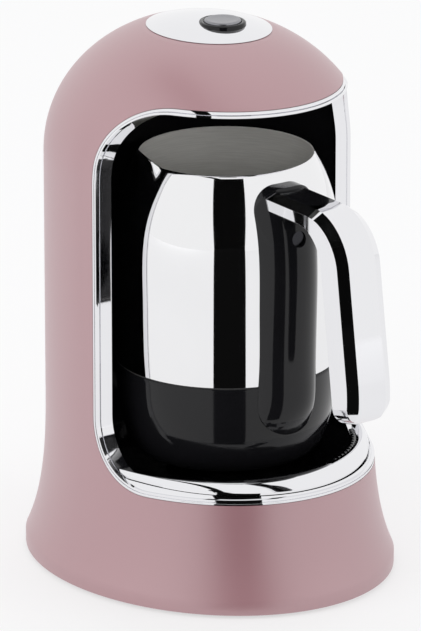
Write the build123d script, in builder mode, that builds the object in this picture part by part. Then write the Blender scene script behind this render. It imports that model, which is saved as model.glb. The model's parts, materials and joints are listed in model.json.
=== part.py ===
from build123d import *
import os
from math import cos, radians, sin, tan

# Electric Turkish coffee maker: a one-piece coloured body with an open niche, a chrome
# bezel round the niche, a lift-out steel pot on a 360 degree connector, and one button.
# Millimetres, +Z up, floor at z = 0, origin under the middle of the overall length.
# Heights are measured from the floor; Y places are measured from the body's own axis.

os.makedirs("parts", exist_ok=True)

# ---------------------------------------------------------------- body form
base_radius = 92.0                      # half width over the skirt
plan_ratio = 1.19                       # depth of every level over its width
base_half_depth = base_radius * plan_ratio
column_radius = base_radius - 10.5      # half width of the upright column
skirt_z = 2.0                           # lower edge of the skirt
lip_top_z = 8.0                         # top of the upright lip at the skirt's edge
flare_middle_radius = column_radius + 2.5
flare_middle_z = 39.0
flare_top_z = 86.0
dome_z = 219.0                          # height where the dome begins
dome_height = column_radius - 5.5
shell_wall = 3.0

# ---------------------------------------------------------------- niche
niche_edge_y = -11.5                    # upright edge of the opening, in front of the body's axis
sill_z = 59.5
lintel_z = dome_z + 45.4
niche_half_width = column_radius - 10.0
niche_half_depth = column_radius - 18.0
corner_radius = niche_half_width - 35.5
liner_wall = 2.2
floor_z = sill_z + 3.0                  # upper face of the niche floor
floor_thickness = 2.5
ceiling_z = lintel_z - 2.9
rim_height = 2.0                        # low lip of the liner along the front of the floor
seat_gap = 0.3                          # gap between pieces that only rest side by side

# ---------------------------------------------------------------- bezel ring
ring_thickness = 3.0
ring_width = 9.5
band_rise = 5.5             # how far the front band climbs from its outer edge
band_lip = 1.2

# ---------------------------------------------------------------- control panel
panel_z = dome_z + dome_height - 6.0
dome_section = (1 - ((panel_z - dome_z) / dome_height) ** 2) ** 0.5
panel_radius = column_radius * dome_section
panel_wall = 2.0
ledge = 4.0                 # width of the housing's ledge under the panel
skirt_wall = 1.8
skirt_depth = 6.0
snap_reach = 1.2
snap_size = 2.0
snap_length = 8.0
button_y = -12.5
button_radius = 9.6
button_top_z = panel_z + 7.0
button_travel = 1.0
button_stem_radius = 3.0
collar_wall = 2.4
collar_top_z = button_top_z - 1.1
collar_bottom_z = panel_z - 6.0
collar_floor = 2.0
slide_clearance = 0.2
fit_clearance = 0.05
spring_wire = 0.4
spring_radius = 6.0
spring_turns = 3

# ---------------------------------------------------------------- electronics in the dome
board_thickness = 1.6
board_top_z = panel_z - 13.9
board_width = 2 * panel_radius - 23.5
board_length = 2 * panel_radius - 13.5
board_y = 0.0
post_radius = 2.6
post_inset = 4.0            # from the board's edges to its posts
screw_radius = 1.25
screw_head_radius = 2.5
screw_head_height = 1.8
screw_length = 8.0
switch_size = 6.2
switch_height = 4.2
switch_stem_radius = 1.75
switch_stem_top_z = board_top_z + 5.4
buzzer_radius = 6.0
buzzer_height = 7.0
buzzer_y = 14.0
led_radius = 1.5
led_height = 5.0
led_spacing = 30.0
sensor_y = -20.0
sensor_width = 16.0
sensor_depth = 12.0
sensor_height = 6.6
window_radius = 5.5
plug_width = 12.0
plug_depth = 6.0
plug_height = 7.5

# ---------------------------------------------------------------- base
plate_thickness = 3.0
plate_clearance = 0.4
foot_radius = 8.0
foot_plug_radius = 3.0
foot_x = base_radius - 32.0
foot_y = base_radius - 34.0
tower_radius = 4.6
tower_front = (base_radius - 27.0, 45.0 - base_radius)
tower_rear = (base_radius - 22.0, base_radius - 50.0)
tower_top_z = sill_z - 3.5
base_screw_radius = 2.0
base_screw_head_radius = 3.8
base_screw_head_height = 1.4
base_screw_length = 16.0
vent_width = 3.0
vent_length = 26.0
vent_pitch = 8.0
vent_count = 5
vent_y = 30.0
gland_z = 22.0
gland_bore_radius = 3.75
gland_radius = 6.5
gland_outer_y = base_half_depth - 1.48
gland_inner_y = gland_outer_y - 15.0
gland_flange_radius = 9.0
gland_flange = 3.0

# ---------------------------------------------------------------- power electronics
power_board_width = 100.0
power_board_depth = 60.0
power_board_y = -20.0
power_board_z = 9.0
power_post_radius = 3.2
transformer = (26.0, 24.0, 22.0)
transformer_at = (-28.0, -21.0)
relay = (20.0, 16.0, 16.0)
relay_at = (20.0, -36.0)
capacitor_radius = 6.0
capacitor_height = 20.0
capacitor_at = (-4.0, -38.0)
terminal_block = (26.0, 12.0, 13.0)
terminal_block_at = (26.0, -4.0)
loom_socket = (14.0, 6.0, 7.0)
transformer_round = 2.0     # upright edges of the boxed components
relay_round = 0.8
socket_round = 0.5
loom_socket_at = (-4.0, 4.0)
loom_radius = 2.2
loom_y = column_radius - 8.5
loom_bend = 17.0
lead_radius = 1.3
lead_spacing = 6.0

# ---------------------------------------------------------------- pot connector
pot_y = -16.0               # the pot's upright axis
boss_radius = 28.0
boss_flange_height = 1.6
boss_slope = 9.0            # degrees, flatter than the 12 degrees of the pot's way out
boss_crown_radius = 9.0
barrel_radius = 22.0
barrel_bottom_z = floor_z - 16.5
contact_radii = (14.0, 20.0)
contact_width = 1.6
contact_depth = 1.0
nut_wall = 6.0
nut_height = 3.0
dish_clearance = 0.3

# ---------------------------------------------------------------- pot
pot_lift = 1.0              # pot's underside over the connector's flange
pot_housing_wall = 2.5
pot_waist_z = floor_z + 17.5
pot_joint_z = floor_z + 52.5            # seam between plastic base and steel
pot_joint_radius = niche_half_width - 13.4
pot_waist_radius = pot_joint_radius - 3.6
pot_foot_radius = pot_joint_radius - 12.1
pot_belly_radius = pot_joint_radius + 0.9
pot_belly_z = pot_joint_z + 40.0
mouth_radius = pot_joint_radius - 11.9
mouth_z = floor_z + 164.0
pot_shoulder_radius = pot_joint_radius - 1.8
pot_shoulder_z = mouth_z - 26.5
vessel_wall = 1.0
vessel_floor_z = pot_joint_z - 15.0
vessel_neck_radius = pot_joint_radius - 4.1
beak_reach = mouth_radius + 5.3
beak_top_z = mouth_z + 5.5
beak_half_width = 17.0
beak_root_radius = mouth_radius - 12.2
beak_bottom_z = mouth_z - 30.5
beak_tip_radius = 2.6
seal_height = 0.8
cover_thickness = 2.5
connector_radius = 31.0
connector_flange = 2.5
connector_top_z = floor_z + 17.5
earth_radius = 2.0
pot_post_at = pot_foot_radius - 8.5
pot_post_radius = 3.4
pot_post_top_z = connector_top_z + 4.0
pot_screw_length = 9.0
plate_radius = pot_foot_radius - 4.0
plate_height = 4.4
element_ring_radius = plate_radius - 14.0
element_radius = 3.3
element_sweep = 320.0
element_tail_radius = 2.0
element_tail = 5.0
element_inset = 4.0         # degrees from the ring's ends to its cold tails
cutout_radius = 8.0
cutout_height = 5.0
probe_radius = 2.4
probe_height = 9.0
probe_at = (14.0, -14.0)
pin_top_z = connector_top_z + 2.0
pot_lead_radius = 1.1

# ---------------------------------------------------------------- handle
handle_reach = 147.0        # body axis to the grip's outer face
grip_width = 27.0
grip_edge = 4.5             # bevel along the grip
handle_top_z = mouth_z - 7.5
handle_under_z = handle_top_z - 12.5
grip_top_y = 13.3 - handle_reach        # corner points of the outer outline before rounding
grip_bend_z = pot_joint_z + 16.0
grip_end_z = pot_joint_z - 6.5
grip_inner_top_y = 32.5 - handle_reach
grip_inner_end_y = 18.0 - handle_reach
grip_toe_rise = 4.5         # outer end of the toe over its inner end
grip_outer_round = 30.0
grip_bend_round = 60.0
grip_inner_round = 18.0
grip_end_round = 13.0
grip_toe_round = 6.5
shell_skin = 2.4
strip_half_width = 18.0
strip_bulge = 9.0           # strip's crown over the pot's belly
strip_bottom_z = pot_joint_z - 28.0
strip_top_z = mouth_z - 6.0
strip_arch = 11.8           # from the strip's crown back to its sides
strip_tuck = 1.0            # crown's way in from the seam to halfway down the strip's end
strip_root = 26.0
strip_end_round = 17.0
strip_top_round = 8.0
strip_clearance = 0.15
head_root_y = pot_y - mouth_radius - 3.8
window_half_width = 8.6
window_front_y = 43.0 - handle_reach
handle_screw_z = mouth_z - 32.0
stud_radius = 4.0
stud_length = 4.0
handle_screw_radius = 2.0
handle_screw_head_radius = 4.0
handle_screw_head_height = 2.4
recess_depth = 3.0
grip_screw_z = pot_joint_z + 13.0
grip_screw_seat = 3.0       # screw head's seat under the core's inner face
grip_screw_length = 14.0
grip_boss_radius = 3.4
grip_boss_height = 8.0

# ---------------------------------------------------------------- derived values
body_y = (handle_reach - base_half_depth) / 2
dome_top_z = dome_z + dome_height
liner_bottom_z = floor_z - floor_thickness
rim_z = floor_z + rim_height
reach = 2 * base_half_depth
tall = 2 * dome_top_z
body_axis = Axis((0, body_y, 0), (0, 0, 1))
pot_axis = Axis((0, body_y + pot_y, 0), (0, 0, 1))
body_front = Plane(origin=(0, body_y, 0), x_dir=(1, 0, 0), z_dir=(0, -1, 0))
pot_front = Plane(origin=(0, body_y + pot_y, 0), x_dir=(1, 0, 0), z_dir=(0, -1, 0))
body_side = Plane(origin=(0, body_y, 0), x_dir=(0, 1, 0), z_dir=(1, 0, 0))
flange_z = floor_z + boss_flange_height
pot_bottom_z = flange_z + pot_lift
dish_slope = tan(radians(boss_slope))
crown_z = flange_z + (boss_radius - boss_crown_radius) * dish_slope
board_under_z = board_top_z - board_thickness
plate_top_z = skirt_z + plate_thickness


def contact_top(radius):
    """Height of the connector's contact ring of the given radius."""
    outer = radius + contact_width / 2
    return flange_z + (boss_radius - outer) * dish_slope


def level(z, y=0.0, x=0.0):
    """Horizontal plane at height z, centred x and y from the body's axis."""
    return Plane((x, body_y + y, z))


# The shell pieces follow the oval body. They are drawn on a round body first, where every
# length along Y is divided by plan_ratio, and stretched to the oval when they are complete.
def drawn(length):
    """Length along Y as it is drawn on the round body."""
    return length / plan_ratio


def drawn_level(z, y=0.0, x=0.0):
    """Horizontal plane of the round body, for a place given on the oval body."""
    return level(z, drawn(y), x)


def stretched(piece):
    """Round-body piece stretched to the oval body."""
    return piece.scale((1, plan_ratio, 1), about=(0, body_y, 0)).fix()


def body_form(inset, bottom_z=skirt_z):
    """Round-body solid of the outer shape, moved inwards by inset."""
    with BuildPart() as form:
        with BuildSketch(body_front):
            with BuildLine():
                Polyline(
                    (0, bottom_z),
                    (base_radius - inset, bottom_z),
                    (base_radius - inset, lip_top_z),
                )
                Spline(
                    (base_radius - inset, lip_top_z),
                    (flare_middle_radius - inset, flare_middle_z),
                    (column_radius - inset, flare_top_z),
                    tangents=[(-0.42, 1), (0, 1)],
                )
                Line((column_radius - inset, flare_top_z), (column_radius - inset, dome_z))
                EllipticalCenterArc(
                    (0, dome_z), column_radius - inset, dome_height - inset, 0, arc_size=90
                )
                Line((0, dome_top_z - inset), (0, bottom_z))
            make_face()
        revolve(axis=body_axis)
    return form.part


def front_window(inset):
    """Round-body block that fills the niche opening in side view, set in by inset."""
    edge = drawn(niche_edge_y - inset)
    low = sill_z + inset
    high = lintel_z - inset
    round_z = corner_radius - inset
    round_y = drawn(round_z)
    with BuildPart() as window:
        with BuildSketch(body_side):
            with BuildLine():
                Polyline(
                    (edge - round_y, low), (-reach, low), (-reach, high), (edge - round_y, high)
                )
                EllipticalCenterArc(
                    (edge - round_y, high - round_z), round_y, round_z, 0, arc_size=90
                )
                Line((edge, high - round_z), (edge, low + round_z))
                EllipticalCenterArc(
                    (edge - round_y, low + round_z), round_y, round_z, 270, arc_size=90
                )
            make_face()
        extrude(amount=base_radius * 2, both=True)
    return window.part


def slab(low_z, high_z):
    """Wide block between two heights."""
    with BuildPart() as block:
        with BuildSketch(level(low_z)):
            Rectangle(reach * 2, reach * 2)
        extrude(amount=high_z - low_z)
    return block.part


def niche_block(grow, low_z, high_z):
    """Round-body upright block of the niche, grown outwards by grow."""
    with BuildPart() as block:
        with BuildSketch(drawn_level(low_z, niche_edge_y)):
            Ellipse(niche_half_width + grow, drawn(niche_half_depth + grow))
        extrude(amount=high_z - low_z)
    return block.part


def screw(place, radius, head_radius, head_height, length):
    """Pan-head screw: the place's normal runs from the head's seat along the shank."""
    with BuildPart() as piece:
        with BuildSketch(place):
            Circle(radius)
        extrude(amount=length)
        with BuildSketch(place):
            Circle(head_radius)
        extrude(amount=-head_height)
        chamfer(piece.faces().sort_by(SortBy.AREA)[0].edges(), radius / 4)
    return piece.part


def finish(builder, label):
    """Label a finished piece and write it."""
    builder.part.label = label
    export_step(builder.part, f"parts/{label}.step")


def drawn_circle(radius):
    """Outline on the round body that is a circle on the oval body."""
    return Ellipse(radius, drawn(radius))


# ================================================================ machine: shell and bezel
tower_places = [(side * x, y) for x, y in (tower_front, tower_rear) for side in (-1, 1)]

with BuildPart() as drawn_towers:
    with BuildSketch(level(plate_top_z)):
        with Locations(*[(x, drawn(y)) for x, y in tower_places]):
            drawn_circle(tower_radius)
    extrude(amount=tower_top_z - plate_top_z)
    add(body_form(shell_wall / 2), mode=Mode.INTERSECT)
    with BuildSketch(level(plate_top_z)):
        with Locations(*[(x, drawn(y)) for x, y in tower_places]):
            drawn_circle(base_screw_radius + fit_clearance)
    extrude(amount=base_screw_length, mode=Mode.SUBTRACT)

with BuildPart() as drawn_housing:
    add(body_form(0))
    add(body_form(shell_wall, skirt_z - shell_wall), mode=Mode.SUBTRACT)
    add(front_window(0), mode=Mode.SUBTRACT)
    add(slab(panel_z, tall), mode=Mode.SUBTRACT)
    with BuildSketch(level(panel_z)):
        Circle(panel_radius - ledge)
    extrude(amount=-shell_wall * 2, mode=Mode.SUBTRACT)
    add(drawn_towers.part)
    with BuildSketch(Plane((0, body_y, gland_z), x_dir=(-1, 0, 0), z_dir=(0, 1, 0))):
        Circle(gland_radius + fit_clearance)
    extrude(amount=reach, mode=Mode.SUBTRACT)

with BuildPart() as outer_housing:
    add(stretched(drawn_housing.part))
finish(outer_housing, "outer_housing")

with BuildPart() as drawn_band:
    with BuildSketch(level(sill_z)):
        Circle(base_radius)
    extrude(amount=band_lip)
    with BuildSketch(level(sill_z + band_lip)):
        Circle(column_radius)
    with BuildSketch(drawn_level(sill_z + band_rise, niche_edge_y)):
        Ellipse(niche_half_width, drawn(niche_half_depth))
    loft()
    add(body_form(0), mode=Mode.INTERSECT)
    add(front_window(0), mode=Mode.INTERSECT)

with BuildPart() as drawn_bezel:
    add(front_window(0))
    add(front_window(ring_thickness), mode=Mode.SUBTRACT)
    add(body_form(0), mode=Mode.INTERSECT)
    add(body_form(ring_width), mode=Mode.SUBTRACT)
    add(drawn_band.part)
    add(niche_block(liner_wall, 0, sill_z + band_rise), mode=Mode.SUBTRACT)

with BuildPart() as bezel_ring:
    add(stretched(drawn_bezel.part))
finish(bezel_ring, "bezel_ring")

with BuildPart() as liner_opening:
    add(front_window(0))
    add(slab(rim_z, ceiling_z), mode=Mode.INTERSECT)

with BuildPart() as liner_hollow:
    add(niche_block(0, floor_z, ceiling_z))
    add(body_form(shell_wall + seat_gap + liner_wall), mode=Mode.INTERSECT)

with BuildPart() as drawn_liner:
    add(niche_block(liner_wall, liner_bottom_z, lintel_z))
    add(body_form(shell_wall + seat_gap), mode=Mode.INTERSECT)
    add(liner_hollow.part, mode=Mode.SUBTRACT)
    add(liner_opening.part, mode=Mode.SUBTRACT)
    add(drawn_bezel.part, mode=Mode.SUBTRACT)
    with BuildSketch(drawn_level(floor_z, pot_y)):
        drawn_circle(barrel_radius + fit_clearance)
    extrude(amount=-2 * floor_thickness, mode=Mode.SUBTRACT)
    with BuildSketch(drawn_level(lintel_z, sensor_y)):
        drawn_circle(window_radius + fit_clearance)
    extrude(amount=ceiling_z - lintel_z, mode=Mode.SUBTRACT)

with BuildPart() as niche_liner:
    add(stretched(drawn_liner.part))
finish(niche_liner, "niche_liner")

# ================================================================ machine: control panel
board_posts = [
    (x, board_y + y)
    for x in (post_inset - board_width / 2, board_width / 2 - post_inset)
    for y in (post_inset - board_length / 2, board_length / 2 - post_inset)
]
collar_radius = button_radius + slide_clearance + collar_wall
skirt_radius = panel_radius - ledge - slide_clearance

with BuildPart() as panel_inside:
    with BuildSketch(level(panel_z - skirt_depth)):
        Circle(skirt_radius)
        Circle(skirt_radius - skirt_wall, mode=Mode.SUBTRACT)
    extrude(amount=skirt_depth + panel_wall)
    with BuildSketch(level(board_top_z)):
        with Locations(*[(x, drawn(y)) for x, y in board_posts]):
            drawn_circle(post_radius)
    extrude(amount=dome_top_z - board_top_z)
    with BuildSketch(level(panel_z - skirt_depth)):
        with Locations((skirt_radius, 0), (-skirt_radius, 0)):
            Rectangle(snap_reach * 2, drawn(snap_length))
    extrude(amount=snap_size)
    add(body_form(panel_wall / 2), mode=Mode.INTERSECT)

with BuildPart() as drawn_panel:
    add(body_form(0))
    add(slab(0, panel_z), mode=Mode.SUBTRACT)
    add(body_form(panel_wall), mode=Mode.SUBTRACT)
    add(panel_inside.part)
    with BuildSketch(drawn_level(board_top_z, button_y)):
        drawn_circle(collar_radius + fit_clearance)
    extrude(amount=dome_height, mode=Mode.SUBTRACT)
    with BuildSketch(level(board_top_z)):
        with Locations(*[(x, drawn(y)) for x, y in board_posts]):
            drawn_circle(screw_radius + fit_clearance)
    extrude(amount=screw_length, mode=Mode.SUBTRACT)

with BuildPart() as control_panel:
    add(stretched(drawn_panel.part))
finish(control_panel, "control_panel")

with BuildPart() as button_collar:
    with BuildSketch(level(collar_bottom_z, button_y)):
        Circle(collar_radius)
        Circle(button_stem_radius + fit_clearance, mode=Mode.SUBTRACT)
    extrude(amount=collar_floor)
    with BuildSketch(level(collar_bottom_z + collar_floor, button_y)):
        Circle(collar_radius)
        Circle(button_radius + slide_clearance, mode=Mode.SUBTRACT)
    extrude(amount=collar_top_z - collar_bottom_z - collar_floor)
    chamfer(button_collar.edges().group_by(Axis.Z)[-1], collar_wall / 4)
finish(button_collar, "button_collar")

spring_low_z = collar_bottom_z + collar_floor
cap_under_z = spring_low_z + button_travel * 4
stem_bottom_z = switch_stem_top_z + fit_clearance * 2
with BuildPart() as button_cap:
    with BuildSketch(level(cap_under_z, button_y)):
        Circle(button_radius)
    extrude(amount=button_top_z - cap_under_z)
    fillet(button_cap.edges().group_by(Axis.Z)[-1], button_travel * 1.2)
    with BuildSketch(level(stem_bottom_z, button_y)):
        Circle(button_stem_radius)
    extrude(amount=cap_under_z - stem_bottom_z)
finish(button_cap, "button_cap")

spring_height = cap_under_z - spring_low_z - 2 * spring_wire - 2 * fit_clearance
spring_foot = level(spring_low_z + spring_wire + fit_clearance, button_y)
with BuildPart() as button_spring:
    with BuildLine(spring_foot):
        Helix(spring_height / spring_turns, spring_height, spring_radius)
    with BuildSketch(
        Plane(
            (spring_radius, body_y + button_y, spring_low_z + spring_wire + fit_clearance),
            z_dir=(0, 1, 0),
        )
    ):
        Circle(spring_wire)
    sweep(is_frenet=True)
finish(button_spring, "button_spring")

# ================================================================ machine: electronics in the dome
def board_screws(places, head_z, radius=screw_radius):
    """Group of equal screws that are driven upwards from head_z."""
    with BuildPart() as group:
        for x, y in places:
            add(screw(level(head_z, y, x), radius, screw_head_radius, screw_head_height, screw_length))
    return group


with BuildPart() as control_board:
    with BuildSketch(level(board_under_z, board_y)) as outline:
        Rectangle(board_width, board_length)
        fillet(outline.vertices(), post_inset / 2)
    extrude(amount=board_thickness)
    with Locations(*[level(board_under_z, y, x) for x, y in board_posts]):
        Hole(screw_radius + fit_clearance)
finish(control_board, "control_board")
finish(board_screws(board_posts, board_under_z), "board_screws")

switch_bore_bottom_z = switch_stem_top_z - switch_height - button_travel
with BuildPart() as switch_body:
    with BuildSketch(level(board_top_z, button_y)):
        Rectangle(switch_size, switch_size)
    extrude(amount=switch_height)
    with BuildSketch(level(board_top_z + switch_height, button_y)):
        Circle(switch_stem_radius + fit_clearance)
    extrude(amount=switch_bore_bottom_z - board_top_z - switch_height, mode=Mode.SUBTRACT)
finish(switch_body, "switch_body")

with BuildPart() as switch_stem:
    with BuildSketch(level(switch_stem_top_z, button_y)):
        Circle(switch_stem_radius)
    extrude(amount=button_travel + fit_clearance - (switch_stem_top_z - switch_bore_bottom_z))
finish(switch_stem, "switch_stem")

with BuildPart() as status_leds:
    with BuildSketch(level(board_top_z, button_y)):
        with GridLocations(led_spacing, 1, 2, 1):
            Circle(led_radius)
    extrude(amount=led_height)
    fillet(status_leds.edges().group_by(Axis.Z)[-1], led_radius * 0.9)
finish(status_leds, "status_leds")

with BuildPart() as buzzer:
    with BuildSketch(level(board_top_z, buzzer_y)):
        Circle(buzzer_radius)
    extrude(amount=buzzer_height)
    with BuildSketch(level(board_top_z + buzzer_height, buzzer_y)):
        Circle(buzzer_radius / 5)
    extrude(amount=-buzzer_height / 3, mode=Mode.SUBTRACT)
finish(buzzer, "buzzer")

with BuildPart() as overflow_sensor:
    with BuildSketch(level(lintel_z, sensor_y)) as outline:
        Rectangle(sensor_width, sensor_depth)
        fillet(outline.vertices(), sensor_depth / 8)
    extrude(amount=sensor_height)
finish(overflow_sensor, "overflow_sensor")

with BuildPart() as sensor_window:
    with BuildSketch(level(ceiling_z, sensor_y)):
        Circle(window_radius)
    extrude(amount=lintel_z - ceiling_z)
finish(sensor_window, "sensor_window")

# ================================================================ machine: base
foot_places = [(side * foot_x, front * foot_y) for side in (-1, 1) for front in (-1, 1)]
gland_place = Plane((0, body_y + gland_inner_y, gland_z), x_dir=(-1, 0, 0), z_dir=(0, 1, 0))
power_posts = [
    (x, power_board_y + y)
    for x in (post_inset - power_board_width / 2, power_board_width / 2 - post_inset)
    for y in (post_inset - power_board_depth / 2, power_board_depth / 2 - post_inset)
]

with BuildPart() as base_plate:
    with BuildSketch(level(skirt_z)):
        plate_half_width = base_radius - shell_wall - plate_clearance
        Ellipse(plate_half_width, plate_half_width * plan_ratio - plate_clearance)
    extrude(amount=plate_thickness)
    with BuildSketch(level(plate_top_z)):
        with Locations(*power_posts):
            Circle(power_post_radius)
    extrude(amount=power_board_z - plate_top_z)
    with Locations(*[level(power_board_z, y, x) for x, y in power_posts]):
        Hole(screw_radius + fit_clearance, power_board_z - skirt_z - plate_thickness / 2)
    with Locations(*[level(plate_top_z, y, x) for x, y in foot_places]):
        Hole(foot_plug_radius + fit_clearance)
    with Locations(*[level(plate_top_z, y, x) for x, y in tower_places]):
        Hole(base_screw_radius + fit_clearance)
    with BuildSketch(level(skirt_z)):
        with Locations(*tower_places):
            Circle(base_screw_head_radius + slide_clearance)
    extrude(amount=base_screw_head_height, mode=Mode.SUBTRACT)
    with BuildSketch(level(skirt_z, vent_y)):
        with GridLocations(vent_pitch, 1, vent_count, 1):
            SlotOverall(vent_length, vent_width, rotation=90)
    extrude(amount=plate_thickness, mode=Mode.SUBTRACT)
finish(base_plate, "base_plate")

with BuildPart() as rubber_feet:
    with BuildSketch(level(0)):
        with Locations(*foot_places):
            Circle(foot_radius)
    extrude(amount=skirt_z)
    chamfer(rubber_feet.edges().group_by(Axis.Z)[0], skirt_z / 4)
    with BuildSketch(level(skirt_z)):
        with Locations(*foot_places):
            Circle(foot_plug_radius)
    extrude(amount=plate_thickness)
finish(rubber_feet, "rubber_feet")

with BuildPart() as base_screws:
    for x, y in tower_places:
        add(
            screw(
                level(skirt_z + base_screw_head_height, y, x),
                base_screw_radius,
                base_screw_head_radius,
                base_screw_head_height,
                base_screw_length,
            )
        )
finish(base_screws, "base_screws")

with BuildPart() as cord_gland:
    with BuildSketch(gland_place):
        Circle(gland_radius)
    extrude(amount=gland_outer_y - gland_inner_y)
    with BuildSketch(gland_place):
        Circle(gland_flange_radius)
    extrude(amount=gland_flange)
    fillet(cord_gland.edges().group_by(Axis.Y)[-1], gland_flange / 3)
    with BuildSketch(gland_place):
        Circle(gland_bore_radius)
    extrude(amount=gland_outer_y - gland_inner_y, mode=Mode.SUBTRACT)
finish(cord_gland, "cord_gland")

power_top_z = power_board_z + board_thickness
with BuildPart() as power_board:
    with BuildSketch(level(power_board_z, power_board_y)):
        Rectangle(power_board_width, power_board_depth)
    extrude(amount=board_thickness)
    with Locations(*[level(power_board_z, y, x) for x, y in power_posts]):
        Hole(screw_radius + fit_clearance)
finish(power_board, "power_board")

with BuildPart() as power_board_screws:
    for x, y in power_posts:
        down = Plane((x, body_y + y, power_top_z), x_dir=(1, 0, 0), z_dir=(0, 0, -1))
        length = power_top_z - skirt_z - plate_thickness / 2 - fit_clearance
        add(screw(down, screw_radius, screw_head_radius, screw_head_height, length))
finish(power_board_screws, "power_board_screws")


def on_power_board(size, place, rounding):
    """Boxed component of the given size that stands on the power board."""
    width, depth, height = size
    with BuildPart() as component:
        with BuildSketch(level(power_top_z, place[1], place[0])):
            Rectangle(width, depth)
        extrude(amount=height)
        fillet(component.edges().filter_by(Axis.Z), rounding)
    return component


finish(on_power_board(transformer, transformer_at, transformer_round), "transformer")
finish(on_power_board(relay, relay_at, relay_round), "relay")
finish(on_power_board(loom_socket, loom_socket_at, socket_round), "loom_socket")

with BuildPart() as capacitor:
    with BuildSketch(level(power_top_z, capacitor_at[1], capacitor_at[0])):
        Circle(capacitor_radius)
    extrude(amount=capacitor_height)
    fillet(capacitor.edges().group_by(Axis.Z)[-1], capacitor_radius / 6)
finish(capacitor, "capacitor")

with BuildPart() as mains_terminal_block:
    add(on_power_board(terminal_block, terminal_block_at, relay_round).part)
    terminal_top_z = power_top_z + terminal_block[2]
    with BuildSketch(level(terminal_top_z, terminal_block_at[1], terminal_block_at[0])):
        with GridLocations(terminal_block[0] / 3, 1, 3, 1):
            Circle(screw_head_radius)
    extrude(amount=-terminal_block[2] / 4, mode=Mode.SUBTRACT)
finish(mains_terminal_block, "mains_terminal_block")

# ================================================================ machine: 360 degree connector
with BuildPart() as base_connector:
    with BuildSketch(level(floor_z, pot_y)):
        Circle(boss_radius + boss_flange_height)
    extrude(amount=boss_flange_height)
    with BuildSketch(pot_front):
        with BuildLine():
            Polyline(
                (0, flange_z),
                (boss_radius, flange_z),
                (boss_crown_radius, crown_z),
                (0, crown_z),
                close=True,
            )
        make_face()
    revolve(axis=pot_axis)
    with BuildSketch(level(floor_z, pot_y)):
        Circle(barrel_radius)
    extrude(amount=barrel_bottom_z - floor_z)
    for radius in contact_radii:
        with BuildSketch(level(contact_top(radius) - contact_depth, pot_y)):
            Circle(radius + contact_width / 2 + fit_clearance)
            Circle(radius - contact_width / 2 - fit_clearance, mode=Mode.SUBTRACT)
        extrude(amount=crown_z - flange_z, mode=Mode.SUBTRACT)
    with BuildSketch(level(crown_z, pot_y)):
        Circle(earth_radius + fit_clearance)
    extrude(amount=-contact_depth, mode=Mode.SUBTRACT)
finish(base_connector, "base_connector")

with BuildPart() as contact_rings:
    for radius in contact_radii:
        with BuildSketch(level(contact_top(radius) - contact_depth, pot_y)):
            Circle(radius + contact_width / 2)
            Circle(radius - contact_width / 2, mode=Mode.SUBTRACT)
        extrude(amount=contact_depth)
    with BuildSketch(level(crown_z, pot_y)):
        Circle(earth_radius)
    extrude(amount=-contact_depth)
finish(contact_rings, "contact_rings")

with BuildPart() as connector_nut:
    with BuildSketch(level(liner_bottom_z - nut_height, pot_y)):
        RegularPolygon(barrel_radius + nut_wall, 12)
        Circle(barrel_radius + fit_clearance, mode=Mode.SUBTRACT)
    extrude(amount=nut_height)
finish(connector_nut, "connector_nut")

with BuildPart() as connector_leads:
    with BuildSketch(level(power_top_z, pot_y)):
        with GridLocations(lead_spacing, 1, 3, 1):
            Circle(lead_radius)
    extrude(amount=barrel_bottom_z - power_top_z)
finish(connector_leads, "connector_leads")

# cable from the power board, up behind the niche, to the control board
loom_x = loom_socket_at[0]
loom_low_z = power_top_z + loom_socket[2] / 2
loom_high_z = board_under_z - plug_height / 2
loom_first_y = loom_socket_at[1] + loom_socket[1] / 2
loom_last_y = board_y + board_length / 2
loom_plane = Plane((loom_x, body_y, 0), x_dir=(0, 1, 0), z_dir=(1, 0, 0))
with BuildPart() as wiring_loom:
    with BuildLine(loom_plane) as route:
        FilletPolyline(
            (loom_first_y, loom_low_z),
            (loom_y - loom_bend, loom_low_z),
            (loom_y, loom_low_z + 2 * loom_bend),
            (loom_y, ceiling_z - loom_bend),
            (loom_y - loom_bend, loom_high_z),
            (loom_last_y, loom_high_z),
            radius=loom_bend,
        )
    with BuildSketch(Plane(route.line @ 0, z_dir=route.line % 0)):
        Circle(loom_radius)
    sweep()
finish(wiring_loom, "wiring_loom")

with BuildPart() as loom_plug:
    with BuildSketch(level(board_under_z, loom_last_y - plug_depth / 2, loom_x)):
        Rectangle(plug_width, plug_depth)
    extrude(amount=-plug_height)
    chamfer(loom_plug.edges().group_by(Axis.Z)[0], plug_depth / 8)
finish(loom_plug, "loom_plug")

# ================================================================ pot: steel vessel
def vessel_form(inset, low_z, low_radius):
    """Turned solid of the steel vessel, moved inwards by inset."""
    with BuildPart() as form:
        with BuildSketch(pot_front):
            with BuildLine():
                Polyline(
                    (0, mouth_z),
                    (0, low_z),
                    (low_radius, low_z),
                    (low_radius, pot_joint_z + inset),
                    (pot_joint_radius - inset, pot_joint_z + inset),
                )
                Spline(
                    (pot_joint_radius - inset, pot_joint_z + inset),
                    (pot_belly_radius - inset, pot_belly_z),
                    (pot_shoulder_radius - inset, pot_shoulder_z),
                    (mouth_radius - inset, mouth_z),
                    tangents=[(0.06, 1), (-0.58, 1)],
                )
                Line((mouth_radius - inset, mouth_z), (0, mouth_z))
            make_face()
        revolve(axis=pot_axis)
    return form.part


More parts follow.
